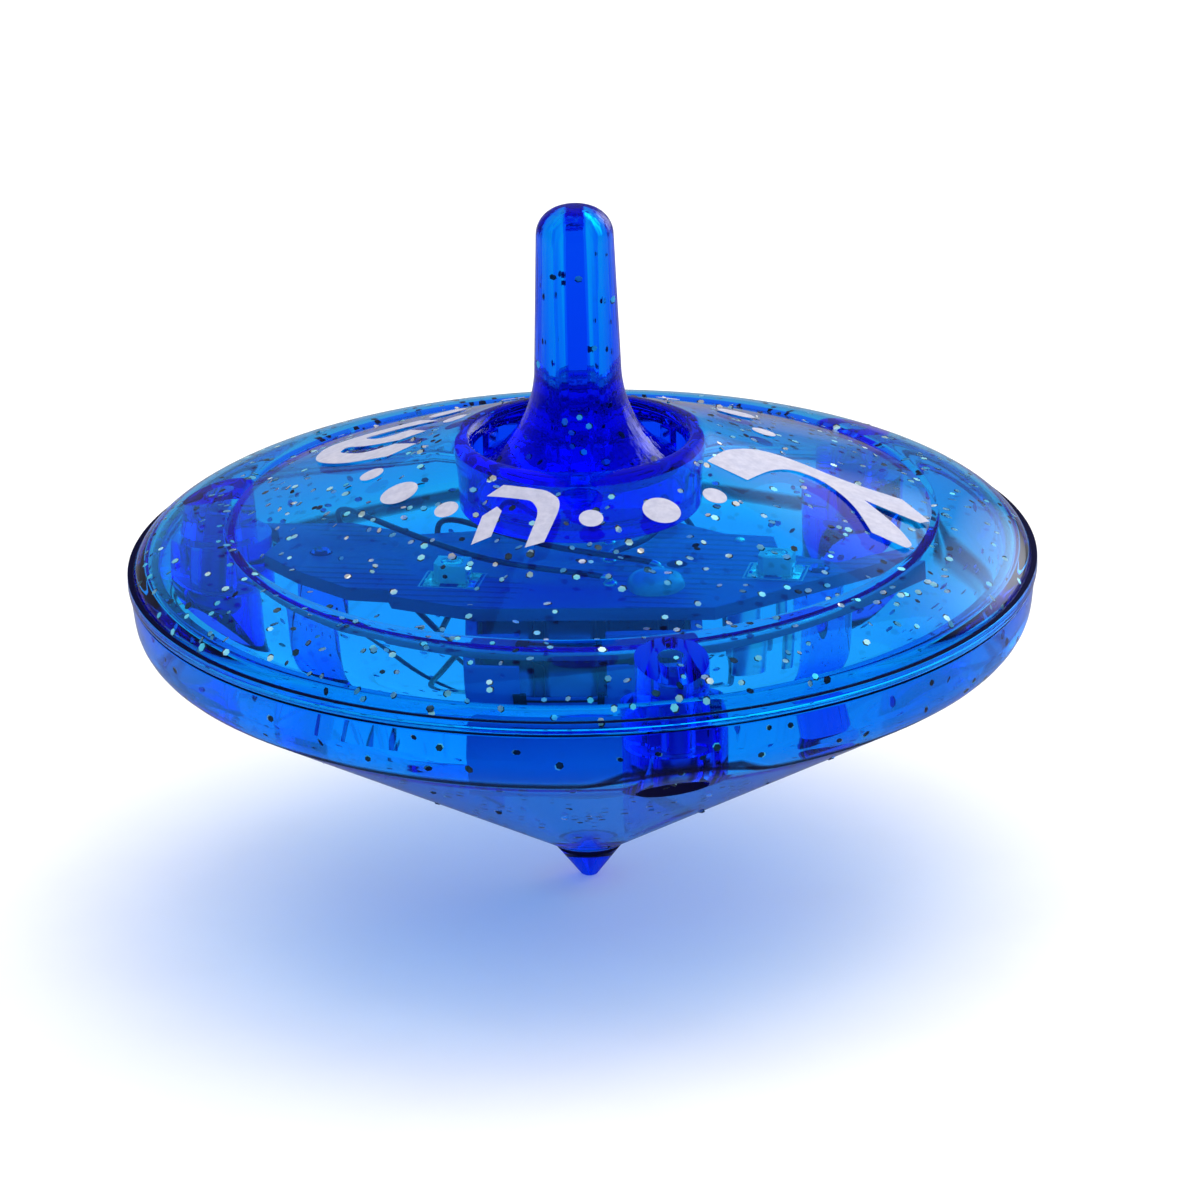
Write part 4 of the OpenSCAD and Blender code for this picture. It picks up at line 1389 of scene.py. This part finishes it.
def makeLamp(name, node):
    centre = middleOf(node)
    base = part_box(node)[0].z / mm
    top = base + lamp["height"]
    sides = oblong(lamp["length"], lamp["width"], lamp["cornerCut"])
    housing = bmesh.new()
    prism(housing, sides, base, top, centre, lamp["turn"])
    body = meshObject(name + "Housing", housing)
    eased(body, lamp["ease"])
    wide, narrow = lamp["well"]
    bottom = top - lamp["wellDepth"]
    gap = lamp["lensGap"]
    outline = [(0, bottom), (narrow, bottom), (wide, top + gap / 2)]
    outline += [(wide, top + cutRoom), (0, top + cutRoom)]
    well = bmesh.new()
    spin(well, outline, 40, centre)
    combine(body, meshObject(name + "Well", well), "DIFFERENCE")
    smoothed(body, 35)
    dress(body, lampWhite, "body", "lamp_resin", node)

    drop = bmesh.new()
    outline = [(0, bottom + gap), (narrow - gap, bottom + gap), (wide - 1.5 * gap, top - 2 * gap)]
    outline += [(0.6 * wide, top + 0.6 * lamp["lens"]), (0, top + lamp["lens"])]
    spin(drop, outline, 40, centre)
    lens = meshObject(name + "Lens", drop)
    smoothed(lens, 50)
    dress(lens, lensResin, "body", "lamp_resin")

    leads = bmesh.new()
    length, width, height = lamp["lead"]
    for side in (-1, 1):
        spot = besideLamp(centre, side * (lamp["length"] / 2 + lamp["leadReach"] - length / 2), 0)
        prism(leads, oblong(length, width), base, base + height, spot, lamp["turn"])
    strips = meshObject(name + "Leads", leads)
    eased(strips, lamp["leadEase"])
    dress(strips, tin, "body", "solder")
    return centre


chip = {
    "domePowers": (0.9, 0.8),
    "domeSteps": 14,
    "swells": ((0.025, 3, 1), (0.015, 5, 0)),
    "drawnIn": 0.04,
}


def makeChip():
    low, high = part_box("chip_drop")
    centre = middleOf("chip_drop")
    reach = (high.x - low.x) / 2 / mm
    rise = (high.z - low.z) / mm
    powerR, powerZ = chip["domePowers"]
    angles = [math.pi / 2 * k / chip["domeSteps"] for k in range(chip["domeSteps"])]
    dome = [(reach * math.cos(a) ** powerR, low.z / mm + rise * math.sin(a) ** powerZ) for a in angles]
    drop = bmesh.new()
    spin(drop, [(0, low.z / mm)] + dome + [(0, high.z / mm)], 72, centre)
    middle = Vector((*centre, 0)) * mm
    for vert in drop.verts:
        # cast resin never runs out into a true circle
        out = Vector((vert.co.x, vert.co.y, 0)) - middle
        angle = math.atan2(out.y, out.x)
        swell = sum(share * math.sin(count * angle + start) for share, count, start in chip["swells"])
        vert.co += out * (swell - chip["drawnIn"])
    piece = meshObject("chipDrop", drop)
    smoothed(piece, 60)
    dress(piece, dropResin(), "body", "chip_resin", "chip_drop")


def makeBoard():
    board = cadCopy("boardLacquered", "circuit_board", boardLook["ease"])
    dress(board, boardMask(), "body", "board", "circuit_board")
    pads = cadCopy("lampPads", "lamp_pads", boardLook["padEase"])
    dress(pads, tin, "body", "solder", "lamp_pads")


lampWhite = lampHousing()
lensResin = clearPlastic("lensResin", (0.98, 0.96, 0.86), 60.0, 0.4)
makeBoard()
makeChip()
lampCentres = [makeLamp("rightLamp", "led_right"), makeLamp("leftLamp", "led_left")]


def makeOutlines():
    # pale printed outlines round the lamps
    bm = bmesh.new()
    length, width = lamp["outline"]
    line = lamp["outlineWidth"]
    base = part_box("circuit_board")[1].z / mm
    for centre in lampCentres:
        for side in (-1, 1):
            top = base + lamp["ink"] + side * lamp["inkStep"]
            across = besideLamp(centre, 0, side * width / 2)
            prism(bm, oblong(length, line), base, top, across, lamp["turn"])
            along = besideLamp(centre, side * length / 2, 0)
            prism(bm, oblong(line, width + line), base, top, along, lamp["turn"])
    piece = meshObject("lampOutlines", bm)
    dress(piece, bpy.data.materials["printInk"], "body", "board")


makeOutlines()


# Battery box, cells, contacts, switch and buzzer

boxFrame = {
    "barPlaces": (-0.275, 0.065),
    "barWidths": (1.15, 0.6),
    "barTop": 3.2,
    "barFoot": 7.1,
    "crossDrop": 4.6,
    "crossHeight": 0.5,
    "proud": 0.4,
    "sunk": 0.5,
    "ease": 0.12,
    "barEase": 0.08,
}
# how far the edges of the metal and moulded pieces are eased
edgeEase = {"cell": 0.18, "weight": 0.12, "base": 0.15, "screw": 0.12}


def makeBox():
    box = cadCopy("batteryBox", "battery_box", boxFrame["ease"])
    dress(box, boxMoulding(), "body", "box_plastic", "battery_box")
    low, high = [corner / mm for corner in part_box("battery_box")]
    length = high.x - low.x
    left, right = [share * length for share in boxFrame["barPlaces"]]
    leftWidth, rightWidth = boxFrame["barWidths"]
    top = high.z - boxFrame["barTop"]
    foot = high.z - boxFrame["barFoot"]
    cross = high.z - boxFrame["crossDrop"]
    front = low.y - boxFrame["proud"]
    depth = boxFrame["proud"] + boxFrame["sunk"]
    # near-black bars over the front of the window, which give it its dark edges
    bars = bmesh.new()
    for x, width, base, upTo in (
        (left, leftWidth, foot, top),
        (right, rightWidth, foot, top),
        ((left + right) / 2, right - left, cross - boxFrame["crossHeight"], cross),
    ):
        prism(bars, oblong(width, depth), base, upTo, (x, front + depth / 2))
    rim = meshObject("boxWindowRim", bars)
    eased(rim, boxFrame["barEase"])
    dress(rim, framePlastic, "body", "switch_plastic")


def makeCellsAndSwitch():
    for index in (1, 2, 3):
        node = f"button_cell_{index}"
        cell = cadCopy(f"buttonCell{index}", node, edgeEase["cell"])
        dress(cell, cellMetal, "body", "cell_steel", node)
    weight = cadCopy("switchWeight", "switch_weight", edgeEase["weight"])
    dress(weight, weightMetal, "switch_arm", "screw_steel", "switch_weight")
    base = cadCopy("switchBase", "switch_base", edgeEase["base"])
    dress(base, switchPlastic, "body", "switch_plastic", "switch_base")


makeBox()
makeCellsAndSwitch()
finish(springMetal, "contact_plate", "contact_leaf", "switch_arm", "switch_post")
finish(platedSheet(), "buzzer_plate")
finish(ceramicFace(), "buzzer_ceramic")


# Wires, with stripped ends that are tinned

wires = {
    "bare": 1.1,
    "tabSide": 2.0,
    "tinned": (0.8, 0.8, 0.82),
    "boardEnds": {
        "wire_plus": (2.4, 5.7),
        "wire_minus": (2.4, 1.2),
        "wire_buzzer_plate": (2.4, -4.7),
        "wire_buzzer_ceramic": (6.7, -1.5),
    },
    "discEnds": {"wire_buzzer_plate": (-6.8, 5.4), "wire_buzzer_ceramic": (-3.2, 4.8)},
    "red": ((0.5, 0.05, 0.12), "wire_red", ("wire_plus", "wire_buzzer_ceramic")),
    "black": ((0.03, 0.05, 0.16), "wire_black", ("wire_minus", "wire_buzzer_plate")),
}


def wireEnds(node):
    x, y = wires["boardEnds"][node]
    ends = [Vector((x * mm, y * mm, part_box("circuit_board")[1].z))]
    if node in wires["discEnds"]:
        x, y = wires["discEnds"][node]
        ends.append(Vector((x * mm, y * mm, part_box(node)[0].z)))
    else:
        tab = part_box("contact_plate" if node == "wire_plus" else "contact_leaf")
        x = tab[0].x if node == "wire_plus" else tab[1].x
        y = (middleOf("battery_box")[1] + wires["tabSide"]) * mm
        ends.append(Vector((x, y, (tab[0].z + tab[1].z) / 2)))
    return ends


def wireSheath(name, colour, ends):
    def build(kit):
        spot = kit.place()
        bare = None
        for end in ends:
            away = kit.add("ShaderNodeVectorMath", {"operation": "DISTANCE"}, {0: spot, 1: end}, "Value")
            near = 1 - away.step(0.93 * wires["bare"] * mm, wires["bare"] * mm)
            bare = near if bare is None else bare.maths("MAXIMUM", near)
        rubbed = kit.noise(650.0, 3.0, 0.6).step(0.45, 0.75)
        sheath = kit.blend(rubbed * 0.5, rgb(*colour), rgb(*[0.6 * value + 0.02 for value in colour]))
        return {
            "Base Color": kit.blend(bare, sheath, rgb(*wires["tinned"])),
            "Metallic": bare,
            "Roughness": 0.3 + rubbed * 0.15,
            "Normal": kit.bump(kit.noise(2400.0, 2.0), 0.004 * mm),
        }
    return solidMaterial(name, {"Specular IOR Level": 0.5}, build)


def makeWires():
    ends = []
    for shade in ("red", "black"):
        colour, slot, names = wires[shade]
        for node in names:
            spots = wireEnds(node)
            words = "".join(word.capitalize() for word in node.split("_")[1:])
            wire = cadCopy("wire" + words, node, 0.0, 1)
            dress(wire, wireSheath("sheath" + words, colour, spots), "body", slot, node)
            ends += spots
    return ends


solderedEnds = makeWires()


# Solder drops, repeated by a rule

drops = {
    "radius": 0.62,
    "flatness": 0.6,
    "uneven": 0.12,
    "seed": 5,
    "sizes": (0.9, 1.12),
    "lampReach": (0.35, -0.5),
    "lampSizes": (0.85, 0.7),
    "pinSize": 0.8,
}


def dropTree():
    kit, entry = ruleTree("solderDrops", ("radius", "flatness", "uneven"), ["seed"])
    ball = kit.add("GeometryNodeMeshUVSphere", None, {
        "Segments": 20,
        "Rings": 12,
        "Radius": entry.other("radius") * mm,
    })
    flat = kit.add("GeometryNodeTransform", None, {
        "Geometry": ball,
        "Scale": kit.vector(1.0, 1.0, entry.other("flatness")),
    })
    points = kit.add("GeometryNodeMeshToPoints", None, {"Mesh": entry.other("Geometry")})
    size = kit.add("GeometryNodeInputNamedAttribute", {"data_type": "FLOAT"}, {"Name": "dropSize"})
    least, most = drops["sizes"]
    chance = {2: least, 3: most, "Seed": entry.other("seed")}
    spread = kit.add("FunctionNodeRandomValue", {"data_type": "FLOAT"}, chance, 1)
    placed = kit.add("GeometryNodeInstanceOnPoints", None, {
        "Points": points,
        "Instance": flat,
        "Scale": size * spread,
    })
    real = kit.add("GeometryNodeRealizeInstances", None, {"Geometry": placed})
    lumps = kit.add("ShaderNodeTexNoise", None, {"Scale": 900.0, "Detail": 1.0})
    push = (lumps - 0.5) * entry.other("uneven") * mm
    outward = {0: kit.add("GeometryNodeInputNormal"), "Scale": push}
    uneven = kit.add("GeometryNodeSetPosition", None, {
        "Geometry": real,
        "Offset": kit.add("ShaderNodeVectorMath", {"operation": "SCALE"}, outward),
    })
    return kit.deliver(uneven, tin)


def makeDrops():
    spots = bmesh.new()
    dropSize = spots.verts.layers.float.new("dropSize")
    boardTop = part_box("circuit_board")[1].z
    for end in solderedEnds:
        spots.verts.new(end)[dropSize] = 1.0
    reach, across = drops["lampReach"]
    for centre in lampCentres:
        for side, size in zip((-1, 1), drops["lampSizes"]):
            x, y = besideLamp(centre, side * (lamp["length"] / 2 + reach), across)
            spots.verts.new((x * mm, y * mm, boardTop))[dropSize] = size
    for node in ("switch_post", "switch_base"):
        x, y = middleOf(node)
        spots.verts.new((x * mm, y * mm, boardTop))[dropSize] = drops["pinSize"]
    piece = grownFrom("solderDrops", dropTree(), drops, meshFrom("solderDrops", spots))
    piece.data.shade_smooth()
    dress(piece, tin, "body", "solder")
    print("solder drops:", len(piece.data.polygons), "faces")


makeDrops()


# Screws and their threads

screwLook = {
    "radius": 1.02,
    "ridge": 0.16,
    "pitch": 0.8,
    "bottom": 25.7,
    "threaded": 5.2,
}


def threadTree():
    kit, entry = ruleTree("screwThread", ("radius", "ridge", "pitch", "threaded"))
    helix = kit.add("GeometryNodeCurveSpiral", None, {
        "Resolution": 28,
        "Rotations": entry.other("threaded") / entry.other("pitch"),
        "Start Radius": entry.other("radius") * mm,
        "End Radius": entry.other("radius") * mm,
        "Height": entry.other("threaded") * mm,
    })
    ridge = kit.add("GeometryNodeCurvePrimitiveCircle", None, {
        "Resolution": 4,
        "Radius": entry.other("ridge") * mm,
    })
    thread = kit.add("GeometryNodeCurveToMesh", None, {
        "Curve": helix,
        "Profile Curve": ridge,
        "Fill Caps": True,
    })
    points = kit.add("GeometryNodeMeshToPoints", None, {"Mesh": entry.other("Geometry")})
    placed = kit.add("GeometryNodeInstanceOnPoints", None, {"Points": points, "Instance": thread})
    return kit.deliver(kit.add("GeometryNodeRealizeInstances", None, {"Geometry": placed}), screwMetal)


def makeScrews():
    screws = cadCopy("shellScrews", "shell_screws", edgeEase["screw"])
    dress(screws, screwMetal, "body", "screw_steel", "shell_screws")
    spots = bmesh.new()
    for x, y in bossCentres:
        spots.verts.new((x * mm, y * mm, screwLook["bottom"] * mm))
    threads = grownFrom("screwThreads", threadTree(), screwLook, meshFrom("screwThreads", spots))
    smoothed(threads, 50)
    dress(threads, screwMetal, "body", "screw_steel")
    print("screws:", len(screws.data.polygons) + len(threads.data.polygons), "faces")


makeScrews()


# Camera and light, from the photograph's viewing angle

view = {
    "elevation": math.radians(20.6),
    "distance": 0.8,
    "aim": 28.8 * mm,
    "roll": 0.0235,
    "frame": 1200,
    "focalPixels": 9090,
    "axisPixel": (582.5, 570.2),
    "sensor": 36.0,
    "clip": (0.05, 50),
}


def makeCamera():
    lens = bpy.data.cameras.new("camera")
    lens.sensor_width = view["sensor"]
    lens.lens = view["sensor"] * view["focalPixels"] / view["frame"]
    lens.shift_x = (view["frame"] / 2 - view["axisPixel"][0]) / view["frame"]
    lens.shift_y = (view["axisPixel"][1] - view["frame"] / 2) / view["frame"]
    lens.clip_start, lens.clip_end = view["clip"]
    camera = bpy.data.objects.new("camera", lens)
    scene.collection.objects.link(camera)
    back = Vector((0, -math.cos(view["elevation"]), math.sin(view["elevation"])))
    look = (-back).to_track_quat("-Z", "Y").to_matrix().to_4x4()
    place = Matrix.Translation(Vector((0, 0, view["aim"])) + back * view["distance"])
    camera.matrix_world = place @ look @ Matrix.Rotation(-view["roll"], 4, "Z")
    scene.camera = camera


light = {
    "horizon": 0.75,
    "overhead": 0.85,
    "mirrored": 0.2,
    "card": 0.9,
    "cardFrom": -0.1,
    "cardTo": 0.6,
    "overheadFrom": 0.30,
    "overheadTo": 0.62,
    "key": (3.0, 0.8, (0.25, 0.33, 0.83)),
    "above": (4.4, 1.5, (0.12, 0.3, 0.86)),
    "side": (0.8, 0.9, (0.5, 0.56, 0.25)),
    "sideSpread": math.radians(58),
    "aim": (0, 0, 0.03),
    "bounces": 40,
}
ground = {
    "reach": 3.0,
    "drop": 0.02 * mm,
    "near": (0.93, 0.93, 0.93),
    "grain": (0.95, 0.95, 0.95),
    "far": (0.8, 0.8, 0.78),
    "farFrom": 0.1,
    "farTo": 0.45,
    "mirrored": (0.05, 0.05, 0.06),
    "throughPlastic": (0.93, 0.95, 1.0),
    "cards": (0.1, 0.3),
}


def areaLight(name, mirrored=True, spread=math.pi):
    power, size, place = light[name]
    source = bpy.data.lights.new(name, "AREA")
    source.energy = power
    source.size = size
    source.spread = spread
    piece = bpy.data.objects.new(name, source)
    scene.collection.objects.link(piece)
    piece.location = place
    piece.visible_glossy = mirrored
    piece.rotation_mode = "QUATERNION"
    piece.rotation_quaternion = (Vector(light["aim"]) - Vector(place)).to_track_quat("-Z", "Y")
    return piece


def makeWorld():
    # pale all round for the camera and through the plastic, and dim where the plastic mirrors it
    world = bpy.data.worlds.new("studio")
    scene.world = world
    world.use_nodes = True
    world.node_tree.nodes.clear()
    kit = NodeKit(world.node_tree)
    path = kit.add("ShaderNodeLightPath")
    spot = kit.add("ShaderNodeSeparateXYZ", None, {0: kit.add("ShaderNodeTexCoord")})
    upward = spot.other("Z").step(light["overheadFrom"], light["overheadTo"])
    studio = light["horizon"] + upward * (light["overhead"] - light["horizon"])
    lit = studio * (1 - path.other("Is Glossy Ray") * (1 - light["mirrored"]))
    behind = spot.other("Y").step(light["cardFrom"], light["cardTo"])
    throughPlastic = path.other("Is Transmission Ray") * (behind * (1 - light["card"]) + light["card"])
    strength = lit.maths("MAXIMUM", path.maths("MAXIMUM", throughPlastic))
    sky = kit.add("ShaderNodeBackground", None, {"Color": rgb(1, 1, 1), "Strength": strength})
    kit.add("ShaderNodeOutputWorld", None, {"Surface": sky})


def floorPaint():
    # clear plastic shows the plain pale floor more than its own shadow on it
    made, kit = newMaterial("paleFloor")
    spot = kit.spot()
    backward = spot.other("Y")
    grain = kit.noise(90.0, 2.0).step(0.3, 0.7)
    pale = kit.blend(grain, rgb(*ground["near"]), rgb(*ground["grain"]))
    # painted shade: the floor turns warm grey towards the back
    seen = kit.blend(backward.step(ground["farFrom"], ground["farTo"]), pale, rgb(*ground["far"]))
    # painted reflection: for rays mirrored off the plastic the floor is painted nearly black, which dims its
    # reflection
    path = kit.add("ShaderNodeLightPath", None, None, "Is Glossy Ray")
    painted = kit.add("ShaderNodeBsdfPrincipled", None, {
        "Base Color": kit.blend(path * (1 - light["mirrored"]), seen, rgb(*ground["mirrored"])),
        "Roughness": 0.75,
        "Specular IOR Level": 0.1,
    })
    near, far = ground["cards"]
    carded = spot.maths("ABSOLUTE").step(near, far).maths("MAXIMUM", (backward * -1).step(near, far))
    card = light["card"]
    through = kit.blend(carded, rgb(*ground["throughPlastic"]), rgb(card, card, card))
    plain = kit.add("ShaderNodeEmission", None, {"Color": through, "Strength": 1.0})
    mixed = {0: path.other("Is Transmission Ray"), 1: painted, 2: plain}
    kit.add("ShaderNodeOutputMaterial", None, {"Surface": kit.add("ShaderNodeMixShader", None, mixed)})
    return made


def makeFloor():
    bm = bmesh.new()
    reach = ground["reach"]
    corners = [(-reach, -reach), (reach, -reach), (reach, reach), (-reach, reach)]
    bm.faces.new([bm.verts.new((x, y, -ground["drop"])) for x, y in corners])
    floor = meshObject("floor", bm)
    floor.data.materials.append(floorPaint())
    return floor


def makeLights(floor):
    areaLight("key", False)
    # a second lamp overhead lights the floor alone, which is paler than its own colour allows
    above = areaLight("above", False)
    lit = bpy.data.collections.new("litFromAbove")
    lit.objects.link(floor)
    above.light_linking.receiver_collection = lit
    areaLight("side", True, light["sideSpread"])
    scene.view_settings.view_transform = "Standard"
    for kind in ("max_bounces", "transmission_bounces", "glossy_bounces", "transparent_max_bounces"):
        setattr(scene.cycles, kind, light["bounces"])


shells = (upperShell, lowerShell, stemSkin, printedMarks)
for piece in scene.objects:
    # the shells' blue light falls on the floor below, so the parts inside don't cut it off
    piece.visible_shadow = piece in shells

makeCamera()
makeWorld()
makeLights(makeFloor())
